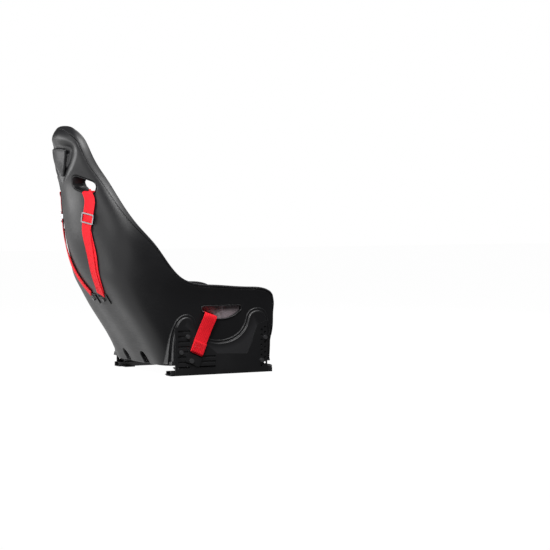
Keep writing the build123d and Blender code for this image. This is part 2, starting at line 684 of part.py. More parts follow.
for name, side in SIDES.items():
    with BuildPart() as lower_rail:
        with BuildSketch(Plane.XZ.offset(-LOWER_HALF)):
            with Locations((RAIL_X, RAIL_H / 2)):
                Rectangle(RAIL_W, RAIL_H)
                Rectangle(RAIL_W - 2 * RAIL_WALL, RAIL_H - 2 * RAIL_WALL, mode=Mode.SUBTRACT)
            with Locations((RAIL_X, RAIL_H)):
                Rectangle(22, 3 * RAIL_WALL, mode=Mode.SUBTRACT)
        extrude(amount=2 * LOWER_HALF)
        with Locations(((RACK_X[0] + RACK_X[1]) / 2, -80, 1.5)):
            Box(RACK_X[1] - RACK_X[0], 240, 3)
        with Locations((182.5, -HOLE_Y, 1.5), (182.5, HOLE_Y, 1.5)):
            Box(33, 38, 3)
        with Locations((HOLE_X, -HOLE_Y, 1.5), (HOLE_X, HOLE_Y, 1.5)):
            Cylinder(HOLE_R, 6, mode=Mode.SUBTRACT)
        with Locations(*[(193, -195 + 10 * i, 1.5) for i in range(1, 23)]):
            Box(6, 5, 6, mode=Mode.SUBTRACT)
        if side < 0:
            mirror(about=Plane.YZ, mode=Mode.REPLACE)
    save(lower_rail, f"lower_rail_{name}")

    with BuildPart() as upper_rail:
        with BuildSketch(Plane.XZ.offset(-UPPER_HALF)):
            with Locations((RAIL_X, (FOOT_LOW + FOOT_HIGH) / 2)):
                Rectangle(2 * FOOT_HALF_W, FOOT_HIGH - FOOT_LOW)
            with Locations((RAIL_X, (FOOT_HIGH + 20) / 2)):
                Rectangle(10, 20 - FOOT_HIGH)
            with Locations((RAIL_X, 22)):
                Rectangle(38, 4)
        extrude(amount=2 * UPPER_HALF)
        with Locations(((EAR_X[0] + 200) / 2, PIVOT_Y, 22)):
            Box(200 - EAR_X[0], 30, 4)
        with Locations(((EAR_X[0] + EAR_X[1]) / 2, PIVOT_Y, 14)):
            Box(EAR_X[1] - EAR_X[0], 30, 20)
        with Locations(Location((sum(EAR_X) / 2, PIVOT_Y, PIVOT_Z), (0, 90, 0))):
            Cylinder(4.02, 10, mode=Mode.SUBTRACT)
        with Locations((RAIL_X, -FLANGE_BOLT_Y, 20), (RAIL_X, FLANGE_BOLT_Y, 20)):
            Cylinder(BOLT_R, 18, mode=Mode.SUBTRACT)
        if side < 0:
            mirror(about=Plane.YZ, mode=Mode.REPLACE)
    save(upper_rail, f"upper_rail_{name}")

    ball_spots = [(side * (RAIL_X + across), along, BALL_Z)
                  for across in (-15, 15) for along in (-105, -85, -65, 65, 85, 105)]
    with BuildPart() as rail_balls:
        with Locations(*ball_spots):
            Sphere(BALL_R)
    save(rail_balls, f"rail_balls_{name}")

    with BuildPart() as ball_cage:
        with Locations(*[(side * (RAIL_X + across), 0, BALL_Z) for across in (-15, 15)]):
            Box(1.2, 230, 9.0)
        with Locations(*[Location(spot, (0, 90, 0)) for spot in ball_spots]):
            Cylinder(BALL_R + 0.1, 3, mode=Mode.SUBTRACT)
    save(ball_cage, f"ball_cage_{name}")

    with BuildPart() as latch_plate:
        with Locations(((ARM_X + BAR_R + 197) / 2, sum(LATCH_Y) / 2, PIVOT_Z)):
            Box(197 - ARM_X - BAR_R, LATCH_Y[1] - LATCH_Y[0], 3)
        with Locations(*[(193, -95 + 10 * i, 6.8) for i in range(4)]):
            Box(5, 4, 6)
        if side < 0:
            mirror(about=Plane.YZ, mode=Mode.REPLACE)
    save(latch_plate, f"latch_plate_{name}")

with BuildPart() as rail_bolts:
    for side in SIDES.values():
        spots = [(side * RAIL_X, end * FLANGE_BOLT_Y) for end in (-1, 1)]
        with Locations(*[(x, y, FLANGE_Z + 6) for x, y in spots]):
            Cylinder(7.0, 4)
        with Locations(*[(x, y, FLANGE_Z - 2.5) for x, y in spots]):
            Cylinder(BOLT_R - 0.05, 15)
save(rail_bolts, "rail_bolts")

BAR_FRONT_Y = -248.0
with BuildPart() as slide_lever:
    with BuildLine() as bar_path:
        FilletPolyline((-ARM_X, PIVOT_Y - 6, PIVOT_Z), (-ARM_X, BAR_FRONT_Y, PIVOT_Z),
                       (ARM_X, BAR_FRONT_Y, PIVOT_Z), (ARM_X, PIVOT_Y - 6, PIVOT_Z), radius=28)
    with BuildSketch(Plane(origin=bar_path.line @ 0, z_dir=bar_path.line % 0)):
        Circle(BAR_R)
    sweep()
    with Locations(*[Location((side * ARM_X, PIVOT_Y, PIVOT_Z), (0, 90, 0))
                     for side in SIDES.values()]):
        Cylinder(8, 12)
        Cylinder(4.06, 12, mode=Mode.SUBTRACT)
save(slide_lever, "slide_lever")

with BuildPart() as lever_pins:
    for side in SIDES.values():
        with Locations(Location((side * 174.5, PIVOT_Y, PIVOT_Z), (0, 90, 0))):
            Cylinder(4.0, 42)
save(lever_pins, "lever_pins")

SPRING_MIDDLE, SPRING_LENGTH = 174.0, 12.0
with BuildPart() as lever_springs:
    for side in SIDES.values():
        coil_start = side * SPRING_MIDDLE - SPRING_LENGTH / 2
        coil = Helix(pitch=2.4, height=SPRING_LENGTH, radius=6.2,
                     center=(coil_start, PIVOT_Y, PIVOT_Z), direction=(1, 0, 0))
        with BuildSketch(Plane(origin=coil @ 0, z_dir=coil % 0)):
            Circle(0.9)
        sweep(path=coil)
save(lever_springs, "lever_springs")
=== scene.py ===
"""Looks of a racing bucket seat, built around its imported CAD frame.

Shapes are worked out in millimetres, in the seat's own frame, and become metres when a mesh is made.
X is across the seat, the seat faces -Y, Z is up.
"""

import math

import bmesh
import bpy
import numpy as np
from mathutils import Matrix, Vector
from mathutils.bvhtree import BVHTree


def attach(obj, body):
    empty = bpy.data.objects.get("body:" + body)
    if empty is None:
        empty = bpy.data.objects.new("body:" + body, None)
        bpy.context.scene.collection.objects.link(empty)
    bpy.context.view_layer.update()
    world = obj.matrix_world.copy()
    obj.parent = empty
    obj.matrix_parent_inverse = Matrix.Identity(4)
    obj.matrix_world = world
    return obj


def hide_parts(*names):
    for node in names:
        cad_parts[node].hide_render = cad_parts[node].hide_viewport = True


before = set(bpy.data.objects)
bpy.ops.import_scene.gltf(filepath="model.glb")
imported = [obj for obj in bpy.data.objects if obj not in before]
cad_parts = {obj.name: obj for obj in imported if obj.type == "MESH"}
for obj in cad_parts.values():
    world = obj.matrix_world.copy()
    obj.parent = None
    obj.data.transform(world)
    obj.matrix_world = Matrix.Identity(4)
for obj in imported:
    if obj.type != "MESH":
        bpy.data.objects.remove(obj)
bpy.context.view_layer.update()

MM = 0.001
SIDES = {"left": 1, "right": -1}
UP = np.array([0.0, 0.0, 1.0])

# ------------------------------------------------------------------ driving dimensions
WALL = 4.8                    # each of the two nested mouldings
RIM_ROUND = 4.6               # radius along the rim
FLOOR_ROUND = 7.0
BOSS_FACE = 243.2             # half width over the raised side bosses
WEB_WIDTH, WEB_T = 50.0, 1.6

# Sections of the shell: height, back of the crown, half width and depth of the crease,
# half width of the side wall and where it straightens, half width and depth at the front.
STATIONS = np.array([
    (34, 217, 205, 197, 229, 145, 214, -184),
    (100, 257, 194, 232, 233, 155, 226, -200),
    (170, 302, 192, 276, 237, 178, 234, -210),
    (240, 349, 190, 323, 241, 200, 238, -215),
    (290, 382, 188, 352, 246, 206, 244, -214),
    (345, 418, 187, 380, 256, 222, 257, -90),
    (400, 444, 186, 389, 259, 250, 262, 20),
    (460, 466, 180, 398, 254, 293, 258, 110),
    (530, 480, 166, 411, 234, 335, 240, 200),
    (600, 490, 146, 431, 206, 366, 211, 270),
    (670, 500, 122, 455, 172, 400, 175, 325),
    (735, 521, 105, 484, 145, 436, 147, 370),
    (790, 530, 95, 497, 129, 456, 130, 400),
    (835, 528, 78, 504, 106, 472, 107, 425),
    (858, 515, 50, 504, 78, 486, 80, 440),
    (867, 503, 24, 499, 42, 488, 44, 455),
    (868, 492, 2, 491, 4, 486, 5, 468),
], float)

# The rim seen from the side, front to top, with the width of the band outside its seam.
RIM = np.array([
    (-206, 30, 8), (-212, 150, 8), (-212, 225, 8), (-207, 257, 8), (-199, 280, 8),
    (-182, 292, 8), (-100, 304, 8), (37, 314, 8), (112, 321, 8), (160, 339, 8), (200, 374, 8),
    (266, 461, 9), (324, 530, 14), (373, 615, 20), (405, 684, 24),
    (433, 735, 26), (454, 787, 27), (470, 830, 27), (488, 856, 26),
], float)

# Outline of a side boss seen from the side, from its rear foot round to its front foot.
BOSS_OUTLINE = np.array([
    (208, 40), (206, 106), (192, 172), (166, 207), (138, 214), (112, 201), (97, 168),
    (66, 134), (6, 121), (-49, 135), (-84, 170), (-105, 218), (-137, 230), (-170, 220),
    (-187, 181), (-195, 118), (-195, 40),
], float)


# ------------------------------------------------------------------ curves and fields
def spline(knots, values, at):
    """Natural cubic spline through values at increasing knots."""
    knots, at = np.asarray(knots, float), np.asarray(at, float)
    values = np.asarray(values, float)
    flat = values.reshape(len(knots), -1)
    step = np.diff(knots)
    system, right = np.eye(len(knots)), np.zeros_like(flat)
    for i in range(1, len(knots) - 1):
        system[i, i - 1:i + 2] = step[i - 1], 2 * (step[i - 1] + step[i]), step[i]
        right[i] = 6 * ((flat[i + 1] - flat[i]) / step[i] - (flat[i] - flat[i - 1]) / step[i - 1])
    bend = np.linalg.solve(system, right)
    i = np.clip(np.searchsorted(knots, at) - 1, 0, len(knots) - 2)
    a = ((knots[i + 1] - at) / step[i])[:, None]
    b = 1 - a
    curved = ((a ** 3 - a) * bend[i] + (b ** 3 - b) * bend[i + 1]) * (step[i] ** 2)[:, None] / 6
    return (a * flat[i] + b * flat[i + 1] + curved).reshape(len(at), *values.shape[1:])


def chord(points):
    """Running length along a list of points."""
    points = np.asarray(points, float)
    return np.concatenate([[0], np.cumsum(np.linalg.norm(np.diff(points, axis=0), axis=1))])


def smooth_line(points, spacing):
    """Smooth curve through points, in steps of about `spacing`."""
    knots = chord(points)
    count = max(int(round(knots[-1] / spacing)), 2)
    return spline(knots, points, np.linspace(0, knots[-1], count + 1))


def smooth_step(x):
    x = np.clip(x, 0, 1)
    return x * x * (3 - 2 * x)


def unit(v):
    v = np.asarray(v, float)
    return v / np.maximum(np.linalg.norm(v, axis=-1, keepdims=True), 1e-12)


def line_distance(points, line):
    """Distance to a polyline, positive on its left, and the position of the nearest point."""
    best = np.full(len(points), 1e9)
    side, where = np.ones(len(points)), np.zeros(len(points))
    for i, (a, b) in enumerate(zip(line[:-1], line[1:])):
        run = b - a
        share = np.clip(((points - a) @ run) / max(run @ run, 1e-12), 0, 1)
        away = points - (a + share[:, None] * run)
        length = np.hypot(away[:, 0], away[:, 1])
        nearer = length < best - 1e-9
        cross = run[0] * away[:, 1] - run[1] * away[:, 0]
        best = np.where(nearer, length, best)
        side = np.where(nearer, np.where(cross >= 0, 1, -1), side)
        where = np.where(nearer, i + share, where)
    return best * side, where


def inside_distance(points, outline):
    """Distance to a closed outline, positive inside it."""
    closed = np.vstack([outline, outline[:1]])
    gap = np.abs(line_distance(points, closed)[0])
    inside = np.zeros(len(points), bool)
    for (x0, y0), (x1, y1) in zip(closed[:-1], closed[1:]):
        crosses = (y0 > points[:, 1]) != (y1 > points[:, 1])
        with np.errstate(divide="ignore", invalid="ignore"):
            at = x0 + (points[:, 1] - y0) * (x1 - x0) / (y1 - y0)
        inside ^= crosses & (points[:, 0] < at)
    return np.where(inside, gap, -gap)


def box_distance(across, up, half_width, half_height, corner):
    """Distance outside a rounded rectangle."""
    dx = np.abs(across) - (half_width - corner)
    dy = np.abs(up) - (half_height - corner)
    outside = np.hypot(np.maximum(dx, 0), np.maximum(dy, 0))
    return outside + np.minimum(np.maximum(dx, dy), 0) - corner


# ------------------------------------------------------------------ the shell's surface
SIDE_COLUMNS, CORNER_COLUMNS, FRONT_COLUMNS = 112, 6, 12
CORNER_CUT = 13.0
CREASE_OUT, CREASE_FORWARD = 0.56, 0.36       # where the turn from the back to the side ends
STATION_RUN = chord(STATIONS[:, [0, 1, 4]])
RUN_TABLE = np.linspace(0, STATION_RUN[-1], 1600)
HEIGHT_TABLE = np.maximum.accumulate(spline(STATION_RUN, STATIONS[:, 0], RUN_TABLE))


def station_at(z):
    """Values of the shell's section at a height."""
    run = np.interp(z, HEIGHT_TABLE, RUN_TABLE)
    return spline(STATION_RUN, STATIONS[:, 1:], [run])[0]


def side_section(values, count):
    """One half of a section, from the centre of the back to the front corner."""
    back, crease_x, crease_y, side_x, side_y, front_x, front_y = values
    half = np.array([
        (0.0, back),
        (0.5 * crease_x, back - 0.25 * (back - crease_y)),
        (crease_x, crease_y),
        (crease_x + CREASE_OUT * (side_x - crease_x), crease_y - CREASE_FORWARD * (crease_y - side_y)),
        (0.98 * side_x, side_y),
        (side_x + 0.4 * (front_x - side_x), side_y + 0.45 * (front_y - side_y)),
        (front_x, front_y),
    ])
    loop = np.vstack([half[:0:-1] * (-1, 1), half])
    knots = chord(loop)
    middle = knots[len(half) - 1]
    return spline(knots, loop, np.linspace(middle, knots[-1] - min(CORNER_CUT, 0.4 * front_x), count))


def half_loop(values):
    """Half of a closed section: side, rounded front corner and half of the front."""
    side = side_section(values, SIDE_COLUMNS)
    corner, front_y = np.array(values[5:7]), values[6]
    landing = np.array([corner[0] - min(CORNER_CUT, 0.4 * corner[0]), front_y])
    t = np.linspace(0, 1, CORNER_COLUMNS + 1)[1:, None]
    turn = (1 - t) ** 2 * side[-1] + 2 * t * (1 - t) * corner + t ** 2 * landing
    across = np.linspace(landing[0], 0, FRONT_COLUMNS + 1)[1:]
    return np.vstack([side, turn, np.column_stack([across, np.full(len(across), front_y)])])


def surface_rows():
    """Rows of the shell's surface: floor, rounded foot, wall, domed top."""
    low = STATIONS[0, 0]
    heights = np.concatenate([np.arange(low + FLOOR_ROUND, 180, 8), np.arange(180, 250, 4),
                              np.arange(250, 640, 8)])
    start = np.interp(640, HEIGHT_TABLE, RUN_TABLE)
    runs = np.concatenate([np.interp(heights, HEIGHT_TABLE, RUN_TABLE),
                           np.linspace(start, STATION_RUN[-1], 110)])
    rows = []
    for values in spline(STATION_RUN, STATIONS, runs):
        half = half_loop(values[1:])
        loop = np.vstack([half, half[-2:0:-1] * (-1, 1)])
        rows.append(np.column_stack([loop, np.full(len(loop), values[0])]))

    def turned(row, radius, angle, sign):
        """A row taken inwards and onwards round a quarter circle."""
        flat = row[:, :2]
        along = unit(np.roll(flat, -1, axis=0) - np.roll(flat, 1, axis=0))
        inward = np.column_stack([along[:, 1], -along[:, 0]])
        inward *= np.sign(np.sum(inward * (flat.mean(0) - flat), axis=1))[:, None]
        moved = flat + inward * radius * (1 - math.cos(angle))
        return np.column_stack([moved, row[:, 2] + sign * radius * math.sin(angle)])

    angles = [math.radians(a) for a in (22, 45, 68, 90)]
    foot = [turned(rows[0], FLOOR_ROUND, a, -1) for a in reversed(angles)]

    def shrunk(row, share):
        centre = np.array([0, (row[:, 1].max() + row[:, 1].min()) / 2, row[0, 2]])
        return centre + (row - centre) * share

    floor = [shrunk(foot[0], share) for share in (0.02, 0.3, 0.6, 0.85)]
    cap = [shrunk(rows[-1], share) for share in (0.6, 0.02)]
    return np.array(floor + foot + rows + cap)


# Hollow under the top edge of the back, as half width at heights, and its deepest point.
SCOOP = np.array([(668, 0), (676, 10), (693, 42), (720, 76), (754, 96), (785, 103),
                  (808, 92), (824, 60), (832, 0)], float)
SCOOP_DEPTH, SCOOP_EDGE = 15.0, 34.0


def scoop_depth(points):
    """How far the back is pressed in round the plaque."""
    x, y, z = points.T
    heights = np.linspace(SCOOP[0, 0], SCOOP[-1, 0], 40)
    widths = np.interp(heights, SCOOP[:, 0], SCOOP[:, 1])
    for _ in range(10):
        widths[1:-1] = (widths[:-2] + 2 * widths[1:-1] + widths[2:]) / 4
    outline = np.vstack([np.column_stack([widths, heights]),
                         np.column_stack([-widths, heights])[::-1]])
    near = (y > 420) & (z > 650) & (np.abs(x) < 115)
    depth = np.zeros(len(points))
    gap = inside_distance(points[near][:, [0, 2]], outline)
    upper = smooth_step((z[near] - 770) / 40)
    flatter = 1 - 0.45 * upper * (1 - smooth_step(np.abs(x[near]) / 70))
    depth[near] = SCOOP_DEPTH * smooth_step((gap + 4) / SCOOP_EDGE) * flatter
    return depth


def surface_normals(grid):
    """Outward normals of a grid of rows that close on themselves."""
    around = np.roll(grid, -1, axis=1) - np.roll(grid, 1, axis=1)
    upward = np.empty_like(grid)
    upward[1:-1] = grid[2:] - grid[:-2]
    upward[0], upward[-1] = grid[1] - grid[0], grid[-1] - grid[-2]
    normals = unit(np.cross(upward, around))
    outwards = np.sign(np.sum(normals[:, 0] * (0, 1, 0), axis=1)).sum()
    return normals if outwards > 0 else -normals


def shell_sheet():
    """The whole outer surface as points, normals and faces."""
    grid = surface_rows()
    normals = surface_normals(grid)
    flat = grid.reshape(-1, 3)
    pressed = flat - normals.reshape(-1, 3) * scoop_depth(flat)[:, None]
    grid = pressed.reshape(grid.shape)
    normals = surface_normals(grid)
    rows, columns = grid.shape[:2]
    faces = []
    for i in range(rows - 1):
        for j in range(columns):
            k = (j + 1) % columns
            faces.append((i * columns + j, (i + 1) * columns + j, (i + 1) * columns + k, i * columns + k))
    a, b, c = (flat[n] for n in faces[40 * columns][:3])
    if np.dot(np.cross(b - a, c - a), normals.reshape(-1, 3)[faces[40 * columns][0]]) < 0:
        faces = [face[::-1] for face in faces]
    return grid.reshape(-1, 3), normals.reshape(-1, 3), faces


# ------------------------------------------------------------------ cutting and thickening sheets
SNAP = 0.14                   # a corner this near the cut, as a share of its edge, moves onto it


def clip(sheet, field):
    """The part of a sheet where field(points) is positive, cut cleanly along its zero line."""
    points, normals, faces = sheet
    value = field(points)
    points, normals = points.copy(), normals.copy()
    signs = value > 0
    mixed = [f for f in faces if not (all(signs[i] for i in f) or not any(signs[i] for i in f))]
    moves = {}
    for face in mixed:
        for a, b in zip(face, face[1:] + face[:1]):
            if (value[a] > 0) != (value[b] > 0):
                share = value[a] / (value[a] - value[b])
                if share < SNAP and share < moves.get(a, (1,))[0]:
                    moves[a] = (share, b)
                elif share > 1 - SNAP and 1 - share < moves.get(b, (1,))[0]:
                    moves[b] = (1 - share, a)
    start = points.copy()
    for i, (share, other) in moves.items():
        points[i] = start[i] + (start[other] - start[i]) * share
        value[i] = 0
    extra_points, extra_normals, made = [], [], {}

    def crossing(a, b):
        key = (min(a, b), max(a, b))
        if key not in made:
            share = value[key[0]] / (value[key[0]] - value[key[1]])
            made[key] = len(points) + len(extra_points)
            extra_points.append(points[key[0]] + (points[key[1]] - points[key[0]]) * share)
            extra_normals.append(unit(normals[key[0]] * (1 - share) + normals[key[1]] * share))
        return made[key]

    kept = []
    for face in faces:
        values = [value[i] for i in face]
        if max(values) <= 0:
            continue
        if min(values) >= 0:
            kept.append(face)
            continue
        ring = []
        for a, b in zip(face, face[1:] + face[:1]):
            if value[a] >= 0:
                ring.append(a)
            if value[a] * value[b] < 0:
                ring.append(crossing(a, b))
        if len(ring) > 2:
            kept.append(tuple(ring))
    if extra_points:
        points = np.vstack([points, extra_points])
        normals = np.vstack([normals, extra_normals])
    return compact(points, normals, kept)


def compact(points, normals, faces):
    """The same sheet without unused points."""
    used = sorted({i for face in faces for i in face})
    place = {old: new for new, old in enumerate(used)}
    return points[used], normals[used], [tuple(place[i] for i in face) for face in faces]


def free_edges(faces):
    """Edges that belong to one face only, in that face's direction."""
    pairs = {(a, b) for face in faces for a, b in zip(face, face[1:] + face[:1])}
    return [(a, b) for a, b in pairs if (b, a) not in pairs]


ARC_STEPS = 4


def thicken(sheet, top, low, round_top, round_low):
    """Closed wall between two depths under a sheet; its free edges roll over by radii given per point."""
    points, normals, faces = sheet
    edges = sorted(free_edges(faces))
    follows, leads = dict(edges), {b: a for a, b in edges}
    rim = sorted(set(follows) & set(leads))
    index = {i: n for n, i in enumerate(rim)}
    along = unit([points[follows[i]] - points[leads[i]] for i in rim])
    outward = unit(np.cross(along, normals[rim]))
    out_points = [points - normals * top, points - normals * low]
    out_normals = [normals, -normals]
    count = len(points)
    out_faces = list(faces) + [tuple(i + count for i in reversed(face)) for face in faces]
    rings = [[i for i in rim]]
    total = 2 * count

    def add_ring(base, sign, radius, angle):
        nonlocal total
        reach = radius[:, None] * math.sin(angle)
        sink = radius[:, None] * (1 - math.cos(angle)) * sign
        out_points.append(base[rim] + outward * reach - normals[rim] * sink)
        out_normals.append(outward * math.sin(angle) + normals[rim] * sign * math.cos(angle))
        rings.append(list(range(total, total + len(rim))))
        total += len(rim)

    radius_top, radius_low = round_top(points[rim]), round_low(points[rim])
    for k in range(1, ARC_STEPS + 1):
        add_ring(out_points[0], 1, radius_top, math.radians(90 * k / ARC_STEPS))
    for k in range(ARC_STEPS, 0, -1):
        add_ring(out_points[1], -1, radius_low, math.radians(90 * k / ARC_STEPS))
    rings.append([i + count for i in rim])
    for upper, lower in zip(rings[:-1], rings[1:]):
        for a, b in edges:
            if a in index and b in index:
                ia, ib = index[a], index[b]
                out_faces.append((upper[ib], upper[ia], lower[ia], lower[ib]))
    return np.vstack(out_points), np.vstack(out_normals), out_faces


def constant(value):
    return lambda points: np.full(len(points), float(value))


def join_sheets(*sheets):
    points, normals, faces, offset = [], [], [], 0
    for p, n, f in sheets:
        points.append(p)
        normals.append(n)
        faces += [tuple(i + offset for i in face) for face in f]
        offset += len(p)
    return np.vstack(points), np.vstack(normals), faces


# ------------------------------------------------------------------ openings
RIM_LINE = smooth_line(RIM[:, :2], 9)
RIM_BAND = np.interp(np.linspace(0, 1, len(RIM_LINE)), chord(RIM[:, :2]) / chord(RIM[:, :2])[-1], RIM[:, 2])
RIM_PATH = np.vstack([[RIM[0, 0], -40], RIM_LINE, [RIM[-1, 0] + 20, RIM[-1, 1] + 44]])
BAND_PATH = np.concatenate([[RIM_BAND[0]], RIM_BAND, [RIM_BAND[-1]]])
SLOT_X, SLOT_Z, SLOT_TILT = 101.0, 662.0, 21.0
SLOT_HALF_LENGTH, SLOT_HALF_HEIGHT, SLOT_CORNER = 44.0, 25.0, 20.0
SLOT_LIP = 5.0
LAP_TOP_Z, LAP_LOW_Z, LAP_REAR_Y, LAP_FRONT_Y = 243.0, 191.0, 86.0, -78.0
LAP_END_HEIGHT, LAP_CORNER = 18.0, 10.0
LAP_LIP = 3.0


def behind_rim(points):
    """Distance behind the rim, and the band's width at that place."""
    gap, where = line_distance(points[:, 1:], RIM_PATH)
    return -gap, np.interp(where, np.arange(len(BAND_PATH)), BAND_PATH)


def slot_field(points):
    """Distance outside the two shoulder slots."""
    x, y, z = points.T
    tilt = math.radians(SLOT_TILT)
    across = (np.abs(x) - SLOT_X) * math.cos(tilt) - (z - SLOT_Z) * math.sin(tilt)
    up = (np.abs(x) - SLOT_X) * math.sin(tilt) + (z - SLOT_Z) * math.cos(tilt)
    gap = box_distance(across, up, SLOT_HALF_LENGTH, SLOT_HALF_HEIGHT, SLOT_CORNER)
    return np.where(y > 300, gap, 99)


def half_moon():
    """Outline of a lap opening: flat top, rounded corners and a curved lower edge."""
    middle, half = (LAP_REAR_Y + LAP_FRONT_Y) / 2, (LAP_REAR_Y - LAP_FRONT_Y) / 2
    ends_z, corner = LAP_TOP_Z - LAP_END_HEIGHT, LAP_CORNER
    drop = ends_z - LAP_LOW_Z
    radius = (half ** 2 + drop ** 2) / (2 * drop)
    reach = math.asin(half / radius)
    arc = [(middle + radius * math.sin(a), LAP_LOW_Z + radius * (1 - math.cos(a)))
           for a in np.linspace(-reach * 0.97, reach * 0.97, 24)]
    outline = list(arc)
    for sign in (1, -1):
        turn = [(middle + sign * (half - corner + corner * math.sin(a)),
                 LAP_TOP_Z - corner + corner * math.cos(a)) for a in np.linspace(math.pi / 2, 0, 6)]
        outline += turn if sign > 0 else turn[::-1]
    return np.array(outline)


HALF_MOON = half_moon()


def lap_field(points):
    """Distance outside the two lap openings."""
    gap = -inside_distance(points[:, 1:], HALF_MOON)
    return np.where(np.abs(points[:, 0]) > 150, gap, 99)


def notch_field(points):
    """Distance outside the two notches in the foot of the back."""
    x, y, z = points.T
    gap = box_distance(np.abs(x) - 75, z - 27, 20, 50, 19.9)
    return np.where(y > 170, gap, 99)


def leg_field(points):
    """Distance outside the leg opening in the front wall."""
    x, y, z = points.T
    gap = box_distance(x, z - 290, 196, 135, 40)
    return np.where(y < -120, gap, 99)


SEAM_GAP, SEAM_ROUND = 1.1, 1.3
LAP_LIP_PROUD = 1.4           # how far the lip of a half-moon opening stands out of the side


def edge_radii(rim_radius):
    """Radius of each free edge: the rim, the seam behind it and the lips of the openings."""
    def radius(points):
        sizes = np.full(len(points), float(rim_radius))
        sizes[behind_rim(points)[0] > RIM_ROUND + 1] = SEAM_ROUND
        sizes[slot_field(points) < SLOT_LIP + 2] = SLOT_LIP
        sizes[lap_field(points) < LAP_LIP + 2] = LAP_LIP
        sizes[notch_field(points) < 5] = 2.5
        return sizes
    return radius


# ------------------------------------------------------------------ meshes
def new_object(name, points, faces, normals=None, scale=MM):
    """Mesh object from points in millimetres."""
    mesh = bpy.data.meshes.new(name)
    mesh.from_pydata((np.asarray(points) * scale).tolist(), [], [tuple(int(i) for i in f) for f in faces])
    mesh.polygons.foreach_set("use_smooth", [True] * len(mesh.polygons))
    mesh.update()
    if normals is not None:
        mesh.normals_split_custom_set_from_vertices([tuple(n) for n in normals])
    piece = bpy.data.objects.new(name, mesh)
    bpy.context.scene.collection.objects.link(piece)
    return piece


def finish_piece(piece, body, material, slot, *nodes):
    """Give a piece its material and put it on its body in place of CAD nodes; `slot` is not used."""
    piece.data.materials.clear()
    piece.data.materials.append(material)
    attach(piece, body)
    if nodes:
        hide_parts(*nodes)
    return piece


def apply_modifiers(piece):
    """Evaluate a piece's modifiers into its mesh."""
    graph = bpy.context.evaluated_depsgraph_get()
    evaluated = bpy.data.meshes.new_from_object(piece.evaluated_get(graph))
    piece.modifiers.clear()
    piece.data = evaluated


# ------------------------------------------------------------------ materials
def new_material(name, color, roughness, metallic=0.0):
    """Principled material, its node tree and its shader node."""
    material = bpy.data.materials.new(name)
    material.use_nodes = True
    tree = material.node_tree
    shader = tree.nodes["Principled BSDF"]
    shader.inputs["Base Color"].default_value = (*color, 1)
    shader.inputs["Roughness"].default_value = roughness
    shader.inputs["Metallic"].default_value = metallic
    return material, tree, shader


def add_node(tree, kind, links=(), **settings):
    """Node with settings on its inputs or attributes, and links into its inputs."""
    node = tree.nodes.new(kind)
    for key, value in settings.items():
        if hasattr(node, key):
            setattr(node, key, value)
        else:
            node.inputs[key.replace("_", " ")].default_value = value
    for target, source in dict(links).items():
        tree.links.new(source, node.inputs[target])
    return node


def place_input(tree, scale=(1, 1, 1), uv=False):
    """Object or UV position, scaled per axis."""
    source = add_node(tree, "ShaderNodeTexCoord").outputs["UV" if uv else "Object"]
    mapping = add_node(tree, "ShaderNodeMapping", {"Vector": source})
    mapping.inputs["Scale"].default_value = scale
    return mapping.outputs["Vector"]


def ramp(tree, source, *stops):
    """Colour ramp through (position, colour) stops."""
    node = add_node(tree, "ShaderNodeValToRGB", {"Fac": source})
    elements = node.color_ramp.elements
    while len(elements) < len(stops):
        elements.new(0.5)
    for element, (position, color) in zip(elements, stops):
        element.position = position
        element.color = (*color, 1) if len(color) == 3 else (color[0],) * 3 + (1,)
    return node.outputs["Color"]


def bump(tree, shader, height, strength, distance, below=None):
    """Bump into a shader, over another bump's normal where given."""
    links = {"Height": height}
    if below is not None:
        links["Normal"] = below
    node = add_node(tree, "ShaderNodeBump", links, Strength=strength, Distance=distance)
    tree.links.new(node.outputs["Normal"], shader.inputs["Normal"])
    return node.outputs["Normal"]


def moulded_plastic(name, color, roughness, grain=1100.0, depth=0.00006):
    """Satin moulded plastic with a fine spark-eroded grain and slight handling marks."""
    material, tree, shader = new_material(name, color, roughness)
    place = place_input(tree)
    fine = add_node(tree, "ShaderNodeTexNoise", {"Vector": place}, Scale=grain, Detail=3.0, Roughness=0.6)
    broad = add_node(tree, "ShaderNodeTexNoise", {"Vector": place}, Scale=7.0, Detail=4.0)
    marks = add_node(tree, "ShaderNodeTexNoise", {"Vector": place_input(tree, (1, 1, 9))}, Scale=34.0,
                     Detail=6.0, Roughness=0.7)
    blend = add_node(tree, "ShaderNodeMath", {0: broad.outputs["Fac"], 1: marks.outputs["Fac"]},
                     operation="MULTIPLY")
    shade = ramp(tree, blend.outputs[0], (0.15, (roughness - 0.05,)), (0.40, (roughness + 0.07,)))
    tree.links.new(shade, shader.inputs["Roughness"])
    edges = add_node(tree, "ShaderNodeNewGeometry")
    worn = ramp(tree, edges.outputs["Pointiness"], (0.50, color), (0.62, tuple(c * 1.9 + 0.01 for c in color)))
    tree.links.new(worn, shader.inputs["Base Color"])
    bump(tree, shader, fine.outputs["Fac"], 0.5, depth)
    return material


def powder_coat(name, color=(0.009, 0.009, 0.010), roughness=0.42):
    """Black powder coat: orange peel under a fine texture."""
    material, tree, shader = new_material(name, color, roughness)
    place = place_input(tree)
    peel = add_node(tree, "ShaderNodeTexNoise", {"Vector": place}, Scale=420.0, Detail=2.0)
    fine = add_node(tree, "ShaderNodeTexNoise", {"Vector": place}, Scale=2200.0, Detail=2.0)
    tone = add_node(tree, "ShaderNodeTexNoise", {"Vector": place}, Scale=11.0, Detail=3.0)
    shade = ramp(tree, tone.outputs["Fac"], (0.3, (roughness - 0.06,)), (0.7, (roughness + 0.08,)))
    tree.links.new(shade, shader.inputs["Roughness"])
    below = bump(tree, shader, peel.outputs["Fac"], 0.5, 0.00012)
    bump(tree, shader, fine.outputs["Fac"], 0.3, 0.00005, below)
    return material


